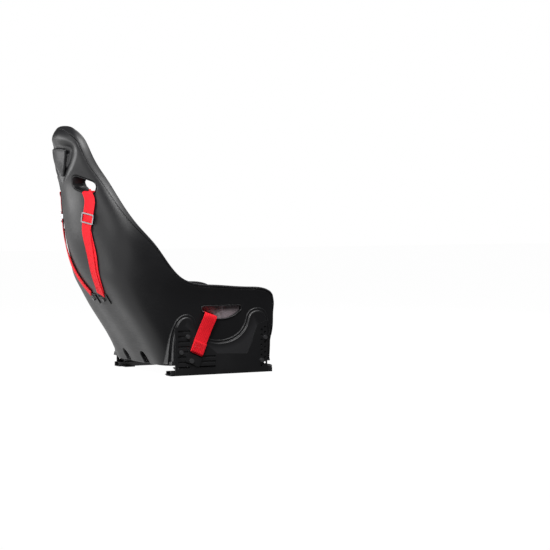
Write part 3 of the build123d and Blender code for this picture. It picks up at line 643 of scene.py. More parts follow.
def bare_metal(name, color, roughness, brush=(1, 1, 40)):
    """Plated or polished metal with fine brushing along one direction."""
    material, tree, shader = new_material(name, color, roughness, metallic=1.0)
    place = place_input(tree, brush)
    lines = add_node(tree, "ShaderNodeTexNoise", {"Vector": place}, Scale=160.0, Detail=5.0)
    tone = add_node(tree, "ShaderNodeTexNoise", {"Vector": place_input(tree)}, Scale=60.0, Detail=3.0)
    shade = ramp(tree, tone.outputs["Fac"], (0.3, (max(roughness - 0.07, 0.03),)), (0.75, (roughness + 0.1,)))
    tree.links.new(shade, shader.inputs["Roughness"])
    bump(tree, shader, lines.outputs["Fac"], 0.25, 0.00006)
    return material


RIB_PITCH = 0.0071            # spacing of the broad lengthwise ribs of the webbing


def webbing_fabric(name, color, valley_shade_and_tone):
    """Seat-belt webbing: fine twill between lengthwise ribs, from UVs in metres, with painted shade in the twill's
    valleys and in the grooves between the ribs.
    """
    material, tree, shader = new_material(name, color, 0.62)
    place = place_input(tree, uv=True)
    split = add_node(tree, "ShaderNodeSeparateXYZ", {"Vector": place})
    wales = add_node(tree, "ShaderNodeMath", {0: split.outputs["X"]}, operation="MULTIPLY")
    wales.inputs[1].default_value = 2 * math.pi / 0.0014
    rows = add_node(tree, "ShaderNodeMath", {0: split.outputs["Y"]}, operation="MULTIPLY")
    rows.inputs[1].default_value = 2 * math.pi / 0.0020
    waves = []
    for sign in ("ADD", "SUBTRACT"):
        mixed = add_node(tree, "ShaderNodeMath", {0: wales.outputs[0], 1: rows.outputs[0]}, operation=sign)
        waves.append(add_node(tree, "ShaderNodeMath", {0: mixed.outputs[0]}, operation="SINE"))
    weave = add_node(tree, "ShaderNodeMath", {0: waves[0].outputs[0], 1: waves[1].outputs[0]},
                     operation="MAXIMUM")
    strands = add_node(tree, "ShaderNodeMath", {0: wales.outputs[0]}, operation="SINE")
    fuzz = add_node(tree, "ShaderNodeTexNoise", {"Vector": place}, Scale=900.0, Detail=4.0)
    tone = add_node(tree, "ShaderNodeTexNoise", {"Vector": place}, Scale=42.0, Detail=3.0)
    level = add_node(tree, "ShaderNodeMath", {0: weave.outputs[0], 1: fuzz.outputs["Fac"]},
                     operation="MULTIPLY_ADD")
    tree.links.new(tone.outputs["Fac"], level.inputs[2])
    # Painted shade: the colour runs to the dark red where the twill is low, mixed with a random tone.
    shade = ramp(tree, level.outputs[0], (0.12, valley_shade_and_tone), (0.55, color), (0.95, tuple(min(c * 1.15, 1) for c in color)))
    band = add_node(tree, "ShaderNodeMath", {0: split.outputs["X"]}, operation="MULTIPLY")
    band.inputs[1].default_value = 2 * math.pi / RIB_PITCH
    wave = add_node(tree, "ShaderNodeMath", {0: band.outputs[0]}, operation="COSINE")
    # Painted shade: the base colour is darkened in the grooves between the ribs; the same groove also drives the
    # bump.
    groove_depth_and_shade = ramp(tree, wave.outputs[0], (0.72, (1.0,)), (0.97, (0.62,)))
    groove_shaded = add_node(tree, "ShaderNodeMix", {6: shade, 7: groove_depth_and_shade}, data_type="RGBA", blend_type="MULTIPLY")
    groove_shaded.inputs[0].default_value = 1.0
    tree.links.new(groove_shaded.outputs[2], shader.inputs["Base Color"])
    shader.inputs["Specular IOR Level"].default_value = 0.22
    below = bump(tree, shader, weave.outputs[0], 0.6, 0.00016)
    rough = bump(tree, shader, strands.outputs[0], 0.35, 0.00012, below)
    bump(tree, shader, groove_depth_and_shade, 0.5, 0.0003, rough)
    return material


def woven_cloth(name, color, light, thread=0.0016):
    """Upholstery cloth: crossing threads that follow the surface's own position."""
    material, tree, shader = new_material(name, color, 0.86)
    source = add_node(tree, "ShaderNodeTexCoord").outputs["Object"]
    split = add_node(tree, "ShaderNodeSeparateXYZ", {"Vector": source})
    scale = 2 * math.pi / thread
    sines = []
    for axis in "XYZ":
        scaled = add_node(tree, "ShaderNodeMath", {0: split.outputs[axis]}, operation="MULTIPLY")
        scaled.inputs[1].default_value = scale
        sines.append(add_node(tree, "ShaderNodeMath", {0: scaled.outputs[0]}, operation="SINE"))
    depth = add_node(tree, "ShaderNodeMath", {0: sines[1].outputs[0], 1: sines[2].outputs[0]},
                     operation="MULTIPLY")
    weave = add_node(tree, "ShaderNodeMath", {0: sines[0].outputs[0], 1: depth.outputs[0]}, operation="ADD")
    fuzz = add_node(tree, "ShaderNodeTexNoise", {"Vector": source}, Scale=650.0, Detail=5.0, Roughness=0.7)
    tone = add_node(tree, "ShaderNodeTexNoise", {"Vector": source}, Scale=9.0, Detail=4.0)
    level = add_node(tree, "ShaderNodeMath", {0: fuzz.outputs["Fac"], 1: tone.outputs["Fac"]}, operation="MULTIPLY")
    shade = ramp(tree, level.outputs[0], (0.12, color), (0.42, light))
    tree.links.new(shade, shader.inputs["Base Color"])
    shader.inputs["Sheen Weight"].default_value = 0.35
    shader.inputs["Sheen Roughness"].default_value = 0.5
    below = bump(tree, shader, weave.outputs[0], 0.5, 0.00022)
    bump(tree, shader, fuzz.outputs["Fac"], 0.4, 0.00025, below)
    return material


def spacer_mesh(name, color, light, cell=0.0034):
    """Knitted spacer mesh: rounded holes in a lighter knit, the holes coloured darker as painted shade."""
    material, tree, shader = new_material(name, color, 0.8)
    source = add_node(tree, "ShaderNodeTexCoord").outputs["Object"]
    cells = add_node(tree, "ShaderNodeTexVoronoi", {"Vector": source}, Scale=1 / cell, Randomness=0.25)
    fuzz = add_node(tree, "ShaderNodeTexNoise", {"Vector": source}, Scale=900.0, Detail=3.0)
    # Painted shade: the colour darkens towards the centres of the holes, to a third of the knit's colour.
    shade = ramp(tree, cells.outputs["Distance"], (0.18, tuple(c * 0.35 for c in color)), (0.42, color), (0.8, light))
    tree.links.new(shade, shader.inputs["Base Color"])
    shader.inputs["Sheen Weight"].default_value = 0.3
    shader.inputs["Sheen Roughness"].default_value = 0.5
    below = bump(tree, shader, cells.outputs["Distance"], 0.8, 0.0006)
    bump(tree, shader, fuzz.outputs["Fac"], 0.3, 0.0002, below)
    return material


# The dark red is painted shade in the webbing's twill, mixed with its random tone.
RED, RED_SHADE_AND_TONE = (0.86, 0.010, 0.022), (0.46, 0.003, 0.008)
M = {
    "shell": moulded_plastic("shell_moulding", (0.0075, 0.0075, 0.0085), 0.40),
    "badge": moulded_plastic("badge_moulding", (0.0065, 0.0065, 0.0075), 0.44, grain=1500.0),
    "buckle": moulded_plastic("buckle_moulding", (0.012, 0.012, 0.013), 0.34, grain=1800.0, depth=0.00005),
    "knob": moulded_plastic("knob_moulding", (0.55, 0.012, 0.02), 0.33, grain=1800.0, depth=0.00004),
    "cage": moulded_plastic("cage_nylon", (0.62, 0.60, 0.55), 0.45),
    "black": powder_coat("powder_coat"),
    "bolt": powder_coat("black_oxide", (0.040, 0.040, 0.042), 0.28),
    "rail": powder_coat("rail_coat", (0.02, 0.02, 0.022), 0.36),
    "zinc": bare_metal("satin_zinc", (0.27, 0.27, 0.285), 0.38),
    "steel": bare_metal("polished_steel", (0.72, 0.72, 0.74), 0.12),
    "brass": bare_metal("turned_brass", (0.60, 0.44, 0.20), 0.28),
    "webbing": webbing_fabric("red_webbing", RED, RED_SHADE_AND_TONE),
    "thread": woven_cloth("red_thread", (0.50, 0.006, 0.012), (0.80, 0.03, 0.04), 0.0008),
    "cloth": woven_cloth("black_cloth", (0.012, 0.012, 0.013), (0.045, 0.045, 0.048)),
    "seam": woven_cloth("seam_thread", (0.05, 0.05, 0.055), (0.12, 0.12, 0.13), 0.0008),
    "mesh": spacer_mesh("spacer_mesh", (0.20, 0.165, 0.178), (0.33, 0.27, 0.29)),
}


# ------------------------------------------------------------------ shell pieces

def make_rear_shell(surface):
    """Rear moulding, from the seam backwards, with its openings."""
    sheet = clip(surface, lambda p: behind_rim(p)[0] - behind_rim(p)[1] - SEAM_GAP - SEAM_ROUND)
    sheet = clip(sheet, lambda p: slot_field(p) - SLOT_LIP)
    sheet = clip(sheet, lambda p: lap_field(p) - LAP_LIP)
    sheet = clip(sheet, lambda p: notch_field(p) - 2.5)
    sheet = clip(sheet, lambda p: leg_field(p) - 2)
    solid = thicken(sheet, 0, WALL, edge_radii(SEAM_ROUND), constant(0.5))
    return new_object("shell_rear", solid[0], solid[2], solid[1])


def make_rim_shell(surface):
    """Front moulding: the band round the rim and the liner inside it."""
    opened = clip(surface, lambda p: behind_rim(p)[0] - RIM_ROUND)
    opened = clip(opened, lambda p: leg_field(p) - RIM_ROUND)
    band = clip(opened, lambda p: behind_rim(p)[1] - SEAM_GAP - SEAM_ROUND - behind_rim(p)[0])
    liner = clip(opened, lambda p: slot_field(p) - SLOT_LIP)
    liner = clip(liner, lambda p: lap_field(p) - LAP_LIP)
    liner = clip(liner, lambda p: notch_field(p) - 2.5)
    outer = thicken(band, 0, WALL + 0.3, edge_radii(RIM_ROUND), constant(0.5))
    inner = thicken(liner, WALL + 0.3, 2 * WALL + 0.6, constant(0.5), edge_radii(RIM_ROUND))
    points, normals, faces = join_sheets(outer, inner)
    return new_object("shell_rim", points, faces, normals)


def skin_half_width(y, z):
    """Half width of the plain side wall at points seen from the side."""
    widths = np.empty(len(y))
    for i, (depth, height) in enumerate(zip(y, z)):
        section = side_section(station_at(height), 90)
        from_side = section[20:]
        order = np.argsort(from_side[:, 1])
        widths[i] = np.interp(depth, from_side[order, 1], from_side[order, 0])
    return widths


def inset_outline(outline, distance):
    """Closed outline moved inwards by an even distance."""
    along = unit(np.roll(outline, -1, axis=0) - np.roll(outline, 1, axis=0))
    inward = np.column_stack([along[:, 1], -along[:, 0]])
    middle = outline.mean(0)
    if np.sum(inward * (middle - outline)) < 0:
        inward = -inward
    return outline + inward * distance


# Stepped edge of a boss: distance in from its outline and share of the height gained.
BOSS_STEP = np.array([(0.0, 0.0), (0.5, 0.20), (1.2, 0.38), (2.1, 0.50), (3.2, 0.55), (4.4, 0.53),
                      (6.2, 0.46), (8.4, 0.42), (9.9, 0.45), (10.9, 0.56), (11.7, 0.72), (12.5, 0.86),
                      (13.5, 0.95), (14.8, 1.0), (16.4, 1.0)])


def make_boss(side):
    """Raised boss on a side wall, with a stepped and rounded edge."""
    crest = smooth_line(BOSS_OUTLINE, 5.0)
    foot_y = np.linspace(crest[-1, 0], crest[0, 0], 60)[1:-1]
    foot = np.column_stack([foot_y, np.full(len(foot_y), crest[0, 1])])
    outline = np.vstack([crest, foot])
    loops, normals = [], []
    base = skin_half_width(outline[:, 0], outline[:, 1]) - 0.15
    on_crest = np.arange(len(outline)) < len(crest)
    for reach, share in BOSS_STEP:
        moved = inset_outline(outline, reach)
        moved[:, 1] = np.where(on_crest, np.maximum(moved[:, 1], foot[0, 1]), foot[0, 1])
        width = base + (BOSS_FACE - base) * share
        loops.append(np.column_stack([side * width, moved]))
    loops = [loops[0] * 1.0] + loops
    loops[0][:, 0] = side * (base - 6)
    count = len(outline)
    faces = []
    for k in range(len(loops) - 1):
        for i in range(count):
            j = (i + 1) % count
            faces.append((k * count + i, k * count + j, (k + 1) * count + j, (k + 1) * count + i))
    faces.append(tuple(range((len(loops) - 1) * count, len(loops) * count)))
    faces.append(tuple(reversed(range(count))))
    points = np.vstack(loops)
    boss = new_object("boss", points, faces)
    recalculate(boss)
    return boss


def recalculate(piece):
    """Point every face outwards."""
    work = bmesh.new()
    work.from_mesh(piece.data)
    bmesh.ops.recalc_face_normals(work, faces=work.faces)
    work.to_mesh(piece.data)
    work.free()
    piece.data.update()


def sharpen(piece, degrees=32):
    """Smooth shading that keeps edges over an angle crisp."""
    piece.data.set_sharp_from_angle(angle=math.radians(degrees))


def join_objects(name, pieces):
    """One object out of several."""
    bpy.ops.object.select_all(action="DESELECT")
    for piece in pieces:
        piece.select_set(True)
    bpy.context.view_layer.objects.active = pieces[0]
    bpy.ops.object.join()
    joined = bpy.context.view_layer.objects.active
    joined.name = name
    joined.data.name = name
    return joined


# Shield-shaped plaque, as half width at heights from its tip to its top edge.
PLAQUE = [(690, 0), (692, 8), (700, 19), (720, 36), (742, 48), (764, 56), (778, 58), (786, 53), (789, 44)]


def back_point(x, z):
    """Depth of the plain rear surface at points of the rear view."""
    depths = np.empty(len(x))
    for i, (across, height) in enumerate(zip(np.abs(x), z)):
        section = side_section(station_at(height), 140)
        widest = int(np.argmax(section[:, 0]))
        depths[i] = np.interp(across, section[:widest + 1, 0], section[:widest + 1, 1])
    return depths


def back_normal(x, z, step=3.0):
    """Normal of the plain rear surface, pointing rearwards."""
    slope_x = (back_point(x + step, z) - back_point(x - step, z)) / (2 * step)
    slope_z = (back_point(x, z + step) - back_point(x, z - step)) / (2 * step)
    return unit(np.column_stack([-slope_x, np.ones(len(x)), -slope_z]))


def make_plaque():
    """Blank shield standing in the hollow, with a bevelled border and a sunk face."""
    heights, widths = np.array(PLAQUE, float).T
    edge = np.array([0, 0.012, 0.03, 0.055, 0.085, 0.12, 0.155, 0.19, 0.26])
    shares = np.concatenate([edge, np.linspace(0.34, 1, 9)])
    shares = np.concatenate([shares - 1, (1 - shares)[-2::-1]])
    top_rows = heights[-1] - np.array([9.0, 7.2, 5.6, 4.2, 3.0, 2.0, 1.2, 0.5, 0])
    rows = np.concatenate([np.arange(heights[0], top_rows[0] - 1, 2.6), top_rows])
    row_widths = np.maximum(spline(heights, widths, rows), 0.8)
    outline = np.vstack([np.column_stack([row_widths, rows]), np.column_stack([-row_widths, rows])[::-1]])
    across = (row_widths[:, None] * shares).ravel()
    up = np.repeat(rows, len(shares))
    gap = np.abs(inside_distance(np.column_stack([across, up]), outline))
    rise = np.interp(gap, [0, 1.2, 2.6, 4.2, 6, 7.6, 9.4, 13], [-5.6, -2.6, -0.9, -0.2, -0.2, -0.9, -1.5, -1.7])
    lower = 1 - smooth_step((up - heights[0] - 6) / 52)
    rise -= 1.8 * lower * smooth_step((gap - 5) / 4)
    normal = back_normal(across, up)
    points = np.column_stack([across, back_point(across, up), up]) + normal * (rise[:, None] - 0.6)
    columns = len(shares)
    faces = [(i * columns + j, i * columns + j + 1, (i + 1) * columns + j + 1, (i + 1) * columns + j)
             for i in range(len(rows) - 1) for j in range(columns - 1)]
    grid = points.reshape(len(rows), columns, 3)
    shaded = unit(np.cross(np.gradient(grid, axis=0), np.gradient(grid, axis=1))).reshape(-1, 3)
    if shaded[:, 1].sum() < 0:
        shaded = -shaded
    a, b, c = (points[i] for i in faces[columns * 20][:3])
    if np.cross(b - a, c - a)[1] < 0:
        faces = [face[::-1] for face in faces]
    solid = thicken((points, shaded, faces), 0, 15, constant(1.2), constant(0.5))
    return new_object("rear_plaque", solid[0], solid[2], solid[1])


# ------------------------------------------------------------------ lips of the openings
def tube_lip(name, outline_3d, tunnel, wall):
    """Smooth moulded ring: a closed line swept along `tunnel` with a wall and rounded ends."""
    count = len(outline_3d)
    along = unit(np.roll(outline_3d, -1, axis=0) - np.roll(outline_3d, 1, axis=0))
    direction = unit(np.asarray(tunnel, float))
    inward = unit(np.cross(along, direction))
    middle = outline_3d.mean(0)
    if np.sum(inward * (middle - outline_3d)) < 0:
        inward = -inward
    length = np.linalg.norm(tunnel)
    half = wall / 2
    profile = [(half * (1 - math.cos(t)), -half * math.sin(t)) for t in np.linspace(0, math.pi, 7)]
    far = [(half * (1 + math.cos(t)), length + half * math.sin(t)) for t in np.linspace(0, math.pi, 7)]
    loops = [outline_3d + inward * a + direction * b for a, b in profile + far]
    faces = []
    total = len(loops)
    for k in range(total):
        for i in range(count):
            j, m = (i + 1) % count, (k + 1) % total
            faces.append((k * count + i, k * count + j, m * count + j, m * count + i))
    ring = new_object(name, np.vstack(loops), faces)
    recalculate(ring)
    return ring


def lap_outline(side, count=110):
    """Closed line of a half-moon opening on the side wall."""
    closed = np.vstack([HALF_MOON, HALF_MOON[:1]])
    lengths = chord(closed)
    at = np.linspace(0, lengths[-1], count, endpoint=False)
    y, z = np.interp(at, lengths, closed[:, 0]), np.interp(at, lengths, closed[:, 1])
    for _ in range(2):
        y, z = (np.roll(y, 1) + 2 * y + np.roll(y, -1)) / 4, (np.roll(z, 1) + 2 * z + np.roll(z, -1)) / 4
    return np.column_stack([side * (skin_half_width(y, z) + LAP_LIP_PROUD), y, z])


def slot_outline(side, grow, count=96):
    """Closed line of a shoulder slot on the rear surface."""
    tilt = math.radians(SLOT_TILT)
    angles = np.linspace(0, 2 * math.pi, 2000, endpoint=False)
    reach = SLOT_CORNER + grow
    corner_x, corner_z = SLOT_HALF_LENGTH - SLOT_CORNER, SLOT_HALF_HEIGHT - SLOT_CORNER
    dense = np.column_stack([corner_x * np.sign(np.cos(angles)) + reach * np.cos(angles),
                             corner_z * np.sign(np.sin(angles)) + reach * np.sin(angles)])
    closed = np.vstack([dense, dense[:1]])
    lengths = chord(closed)
    at = np.linspace(0, lengths[-1], count, endpoint=False)
    across, up = np.interp(at, lengths, closed[:, 0]), np.interp(at, lengths, closed[:, 1])
    x = SLOT_X + across * math.cos(tilt) + up * math.sin(tilt)
    z = SLOT_Z - across * math.sin(tilt) + up * math.cos(tilt)
    return np.column_stack([side * x, back_point(x, z), z])


# ------------------------------------------------------------------ webbing
RIBBON_HALF = np.concatenate([[-1.0, -0.985, -0.94], np.linspace(-0.86, 0.86, 9), [0.94, 0.985, 1.0]])
RIBBON_EDGE = np.concatenate([[0.25, 0.72, 0.96], np.ones(9), [0.96, 0.72, 0.25]])


def ribbon(name, route, width, thickness=WEB_T, spacing=5.0, cup=0.0):
    """Flat webbing through (point, direction across) pairs; its width may be given per pair."""
    centres = np.array([point for point, _ in route], float)
    acrosses = unit([across for _, across in route])
    widths = np.broadcast_to(np.asarray(width, float), (len(route),))
    knots = chord(centres)
    at = np.linspace(0, knots[-1], max(int(knots[-1] / spacing), 8) + 1)
    line, turned = spline(knots, centres, at), unit(spline(knots, acrosses, at))
    half = np.interp(at, knots, widths) / 2
    along = unit(np.gradient(line, axis=0))
    turned = unit(turned - along * np.sum(along * turned, axis=1)[:, None])
    facing = np.cross(along, turned)
    columns = len(RIBBON_HALF)
    top, low = [], []
    for centre, across, up, reach in zip(line, turned, facing, half):
        bow = cup * (1 - RIBBON_HALF ** 2)[:, None] * up
        flat = centre + across * (RIBBON_HALF * reach)[:, None] + bow
        rise = up * (RIBBON_EDGE * thickness / 2)[:, None]
        top.append(flat + rise)
        low.append(flat - rise)
    points = np.vstack([np.vstack(top), np.vstack(low)])
    count = len(line) * columns
    faces = []
    for i in range(len(line) - 1):
        for j in range(columns - 1):
            a, b = i * columns + j, (i + 1) * columns + j
            faces += [(a, b, b + 1, a + 1), (count + a, count + a + 1, count + b + 1, count + b)]
        for j in (0, columns - 1):
            a, b = i * columns + j, (i + 1) * columns + j
            faces.append((a, count + a, count + b, b) if j == 0 else (a, b, count + b, count + a))
    for i in (0, len(line) - 1):
        for j in range(columns - 1):
            a = i * columns + j
            faces.append((a, a + 1, count + a + 1, count + a))
    piece = new_object(name, points, faces)
    recalculate(piece)
    runs = np.repeat(at, columns) * MM
    shares = (RIBBON_HALF[None, :] * half[:, None]).ravel() * MM
    places = np.tile(np.column_stack([shares, runs]), (2, 1))
    layer = piece.data.uv_layers.new(name="UVMap")
    index = np.empty(len(piece.data.loops), int)
    piece.data.loops.foreach_get("vertex_index", index)
    layer.data.foreach_set("uv", places[index].ravel())
    return piece


def stitches(name, centre, across, along, width, length, lines=2):
    """Rows of raised stitches sewn across webbing, each a small rounded bar."""
    across, along = unit(across), unit(along)
    up = np.cross(along, across)
    points, faces = [], []
    pitch, radius = 2.6, 0.32
    count = int(width / pitch)
    for row in range(lines):
        start = centre + along * (row / max(lines - 1, 1) - 0.5) * length
        for i in range(count):
            middle = start + across * (i - (count - 1) / 2) * pitch
            base = len(points)
            for end in (-0.95, 0.95):
                for k in range(6):
                    angle = math.pi * k / 3
                    off = along * math.cos(angle) + up * math.sin(angle)
                    points.append(middle + across * end + off * radius)
            for k in range(6):
                m = (k + 1) % 6
                faces.append((base + k, base + m, base + 6 + m, base + 6 + k))
            faces += [tuple(base + k for k in reversed(range(6))), tuple(base + 6 + k for k in range(6))]
    piece = new_object(name, np.array(points), faces)
    recalculate(piece)
    return piece


# ------------------------------------------------------------------ harness routes
REAR_ROUTE = [(119, 600), (114, 575), (108, 549), (99, 507), (97, 470), (93, 425), (82, 372),
              (66, 326), (52, 296)]
REAR_LIFT, LIP_LIFT = 5.6, 6.0
SHOULDER_WIDTH, LIP_X, LIP_Z = 42.0, 113.0, 639.4
ANCHOR_X, ANCHOR_Z = 42.0, 264.0


def back_place(side, x, z, lift):
    """Point at a lift off the rear surface, and the surface's normal there."""
    spot = (np.array([side * x], float), np.array([z], float))
    normal = back_normal(*spot)[0]
    return np.array([side * x, back_point(*spot)[0], z]) + normal * lift, normal


def across_back(side, places):
    """Directions across a strap that lies on the rear surface."""
    route = []
    for i, (point, normal) in enumerate(places):
        along = places[min(i + 1, len(places) - 1)][0] - places[max(i - 1, 0)][0]
        route.append((point, unit(np.cross(normal, along)) * side))
    return route


def rear_strap_route(side, lift=REAR_LIFT, first=0, shift=0.0):
    """Shoulder strap on the back from its upper end down to its anchor."""
    places = []
    for i, (x, z) in enumerate(REAR_ROUTE):
        fade = smooth_step((i - 3) / 2) * (1 - smooth_step((i - 6) / 3))
        places.append(back_place(side, x + shift * fade, z, lift))
    for i, share in ((1, 0.28), (2, 0.56)):
        places[i] = tuple(places[0][k] * (1 - share) + places[3][k] * share for k in (0, 1))
    end = back_place(side, ANCHOR_X, ANCHOR_Z + 17, lift - 0.4)
    return across_back(side, places + [end])[first:]


def make_rear_strap(name, side):
    """Doubled shoulder strap on the back: one run from the slot, one folded back from the anchor."""
    lip, normal = back_place(side, LIP_X, LIP_Z, LIP_LIFT)
    inner = np.array([side * LIP_X, back_point(np.array([LIP_X]), np.array([LIP_Z]))[0] - 15, LIP_Z])
    bunched = np.array([side * 30, 0, -6.2])
    turn, turn_normal = back_place(side, LIP_X + 4, LIP_Z - 14, LIP_LIFT)
    lip_across = unit(np.cross(turn_normal, (0, 0, -1))) * side
    route = [(inner, bunched), (lip, lip_across), (turn, lip_across)] + rear_strap_route(side, shift=4.0)
    widths = [30.6, 38, 40] + [SHOULDER_WIDTH] * 3 + [38, 35, 34, 34, 35, 37, 40]
    outer = ribbon(f"shoulder_strap_rear_{name}", route, widths, cup=0.8)
    under = ribbon("under_run", rear_strap_route(side, 3.0, first=3, shift=14.0), 36)
    seam_at, seam_across = rear_strap_route(side, REAR_LIFT + 0.9)[-2]
    seam_along = unit(np.cross(seam_across, back_normal(seam_at[:1], seam_at[2:])[0]))
    thread = stitches("strap_stitches", seam_at + seam_along * 4, seam_across, seam_along, SHOULDER_WIDTH - 5, 16, 3)
    thread.data.materials.append(M["thread"])
    joined = join_objects(f"shoulder_strap_rear_{name}", [outer, under])
    finish_piece(joined, "carriage", M["webbing"], "webbing_red", f"shoulder_strap_rear_{name}")
    finish_piece(thread, "carriage", M["thread"], "webbing_red")
    thread.name = f"strap_stitches_{name}"
    return joined


BUCKLE_Y, CUSHION_TOP, TONGUE_Z, STRAP_REACH = 30.0, 118.0, 125.0, 72.0
# Middle of a shoulder strap on the pads, as distance from the centre and height.
FRONT_ROUTE = [(112, 628), (108, 606), (101, 573), (94, 540), (86, 490), (78, 440), (72, 400), (68, 360),
               (63, 325), (60, 290), (58, 255), (56, 220), (54, 192), (52, 165)]
LAP_END, LAP_RISE, SLIT_TILT = np.array([0, 110, 75]), np.array([0, 50, 212]), 20.0


def around_buckle(side, degrees, reach, z):
    """Point round the buckle, at an angle from straight sideways towards the back."""
    turn = math.radians(degrees)
    return np.array([side * reach * math.cos(turn), BUCKLE_Y + reach * math.sin(turn), z])


def hit_front(tree, x, z):
    """Where a line from the front first meets the pads, and the normal there."""
    spot, normal, _, _ = tree.ray_cast(Vector((x, -600, z)) * MM, Vector((0, 1, 0)))
    if spot is None:
        return None
    return np.array(spot) / MM, np.array(normal)


def make_front_strap(name, side, tree):
    """Shoulder strap from its slot, over the shoulder pad and down the back pads to the buckle."""
    places = []
    for x, z in FRONT_ROUTE:
        found = hit_front(tree, side * x, z)
        if found is not None:
            places.append((found[0] + np.array([0, -1, 0]) * 3.2, found[1]))
    knots = np.array([place[0] for place in places])
    eased = knots.copy()
    for _ in range(3):
        eased[1:-1, 1] = np.minimum(eased[1:-1, 1], (eased[:-2, 1] + eased[2:, 1]) / 2 + 0.6)
    lip_y = back_point(np.array([LIP_X]), np.array([LIP_Z]))[0]
    bunched = np.array([side * 30, 0, -6.2])
    fold_y = eased[0, 1] + 1.5
    route = [(np.array([side * LIP_X, lip_y - 19, LIP_Z]), bunched),
             (np.array([side * LIP_X, (lip_y + fold_y) / 2 - 8, LIP_Z]), bunched),
             (np.array([side * LIP_X, fold_y, LIP_Z - 1]), bunched)]
    for i, point in enumerate(eased):
        along = eased[min(i + 1, len(eased) - 1)] - eased[max(i - 1, 0)]
        slope = places[i][1]
        across = unit(np.cross(along, slope))
        across = across * np.sign(across[0]) * side
        route.append((point, unit(across * (1, 0.55, 1))))
    end = around_buckle(side, 52, STRAP_REACH, TONGUE_Z + 5)
    route.append((np.array([side * 51, end[1] + 46, CUSHION_TOP + 12]), np.array([side, 0, 0])))
    route.append((end, np.array([side * math.sin(math.radians(52)), -math.cos(math.radians(52)), 0])))
    widths = [30.6, 30.6, 33] + [SHOULDER_WIDTH] * (len(route) - 3)
    strap = ribbon(f"shoulder_strap_front_{name}", route, widths, cup=0.4)
    return finish_piece(strap, "carriage", M["webbing"], "webbing_red", f"shoulder_strap_front_{name}")


def make_lap_strap(name, side):
    """Lap strap from its anchor, through the half-moon opening, to the buckle."""
    out = np.array([side, 0, 0])
    level = np.array([0, math.cos(math.radians(SLIT_TILT)), math.sin(math.radians(SLIT_TILT))])
    flat = np.array([0, 1.0, 0])
    end = around_buckle(side, -8, STRAP_REACH, TONGUE_Z + 5)
    route = [
        (LAP_END + out * 253.6, level), (LAP_RISE + (LAP_END - LAP_RISE) * 0.2 + out * 251.5, level),
        (LAP_RISE + out * 247, level), (LAP_RISE + out * 236, level), (LAP_RISE + out * 200, level),
        (LAP_RISE + out * 168, level), (LAP_RISE + out * 160 + (0, -2, -10), level),
        (np.array([side * 154, 40, CUSHION_TOP + 26]), flat),
        (np.array([side * 128, 32, CUSHION_TOP + 8]), flat), (end, flat),
    ]
    strap = ribbon("lap_run", route, WEB_WIDTH, cup=0.6)
    along = unit(LAP_RISE - LAP_END)
    tail_from = LAP_END + along * 3 + out * 255.6
    tail = ribbon("lap_tail", [(tail_from, level), (tail_from + along * 20, level),
                               (tail_from + along * 42 - out * 0.4, level)], WEB_WIDTH - 1)
    thread = stitches(f"lap_stitches_{name}", tail_from + along * 28 + out * 1.1, level, along, WEB_WIDTH - 8, 14, 3)
    joined = join_objects(f"lap_strap_{name}", [strap, tail])
    finish_piece(joined, "carriage", M["webbing"], "webbing_red", f"lap_strap_{name}")
    finish_piece(thread, "carriage", M["thread"], "webbing_red")


# ------------------------------------------------------------------ pads
# Each pad's look, how full it is, and the planes of its sewn channels as (axis, distance) in millimetres.
PADS = {
    "head_pad": ("cloth", 0.7, [("z", 776)]),
    "shoulder_pad": ("cloth", 0.6, [("x", 0)]),
    "back_pad": ("cloth", 0.7, [("z", 388), ("z", 442), ("z", 496), ("z", 550)]),
    "lumbar_pad": ("cloth", 0.75, [("z", 176), ("z", 228), ("z", 280)]),
    "seat_cushion": ("cloth", 0.75, [("y", -110), ("y", -40), ("y", 30), ("x", 96)]),
    "back_bolster_left": ("cloth", 0.8, []),
    "back_bolster_right": ("cloth", 0.8, []),
    "thigh_bolster_left": ("mesh", 0.8, []),
    "thigh_bolster_right": ("mesh", 0.8, []),
}
PAD_VOXEL, PAD_SHRINK, PAD_SWELL = 0.0052, 0.0042, 0.0052
CHANNEL_DEPTH, CHANNEL_WIDTH = 0.0052, 0.0050


def swell(piece):
    """Blow a pad up with cloth pressure and keep the result."""
    cloth = piece.modifiers.new("stuffing", "CLOTH")
    settings = cloth.settings
    settings.use_pressure = True
    settings.uniform_pressure_force = 4.0
    settings.effector_weights.gravity = 0.0
    settings.quality = 4
    scene = bpy.context.scene
    cloth.point_cache.frame_start, cloth.point_cache.frame_end = 1, 20
    for step in range(1, 21):
        scene.frame_set(step)
        bpy.context.view_layer.update()
    apply_modifiers(piece)
    scene.frame_set(1)


def mesh_points(piece):
    points = np.empty(len(piece.data.vertices) * 3)
    piece.data.vertices.foreach_get("co", points)
    return points.reshape(-1, 3)


def mesh_normals(piece):
    normals = np.empty(len(piece.data.vertices) * 3)
    piece.data.vertices.foreach_get("normal", normals)
    return normals.reshape(-1, 3)


def set_points(piece, points):
    piece.data.vertices.foreach_set("co", points.ravel())
    piece.data.update()


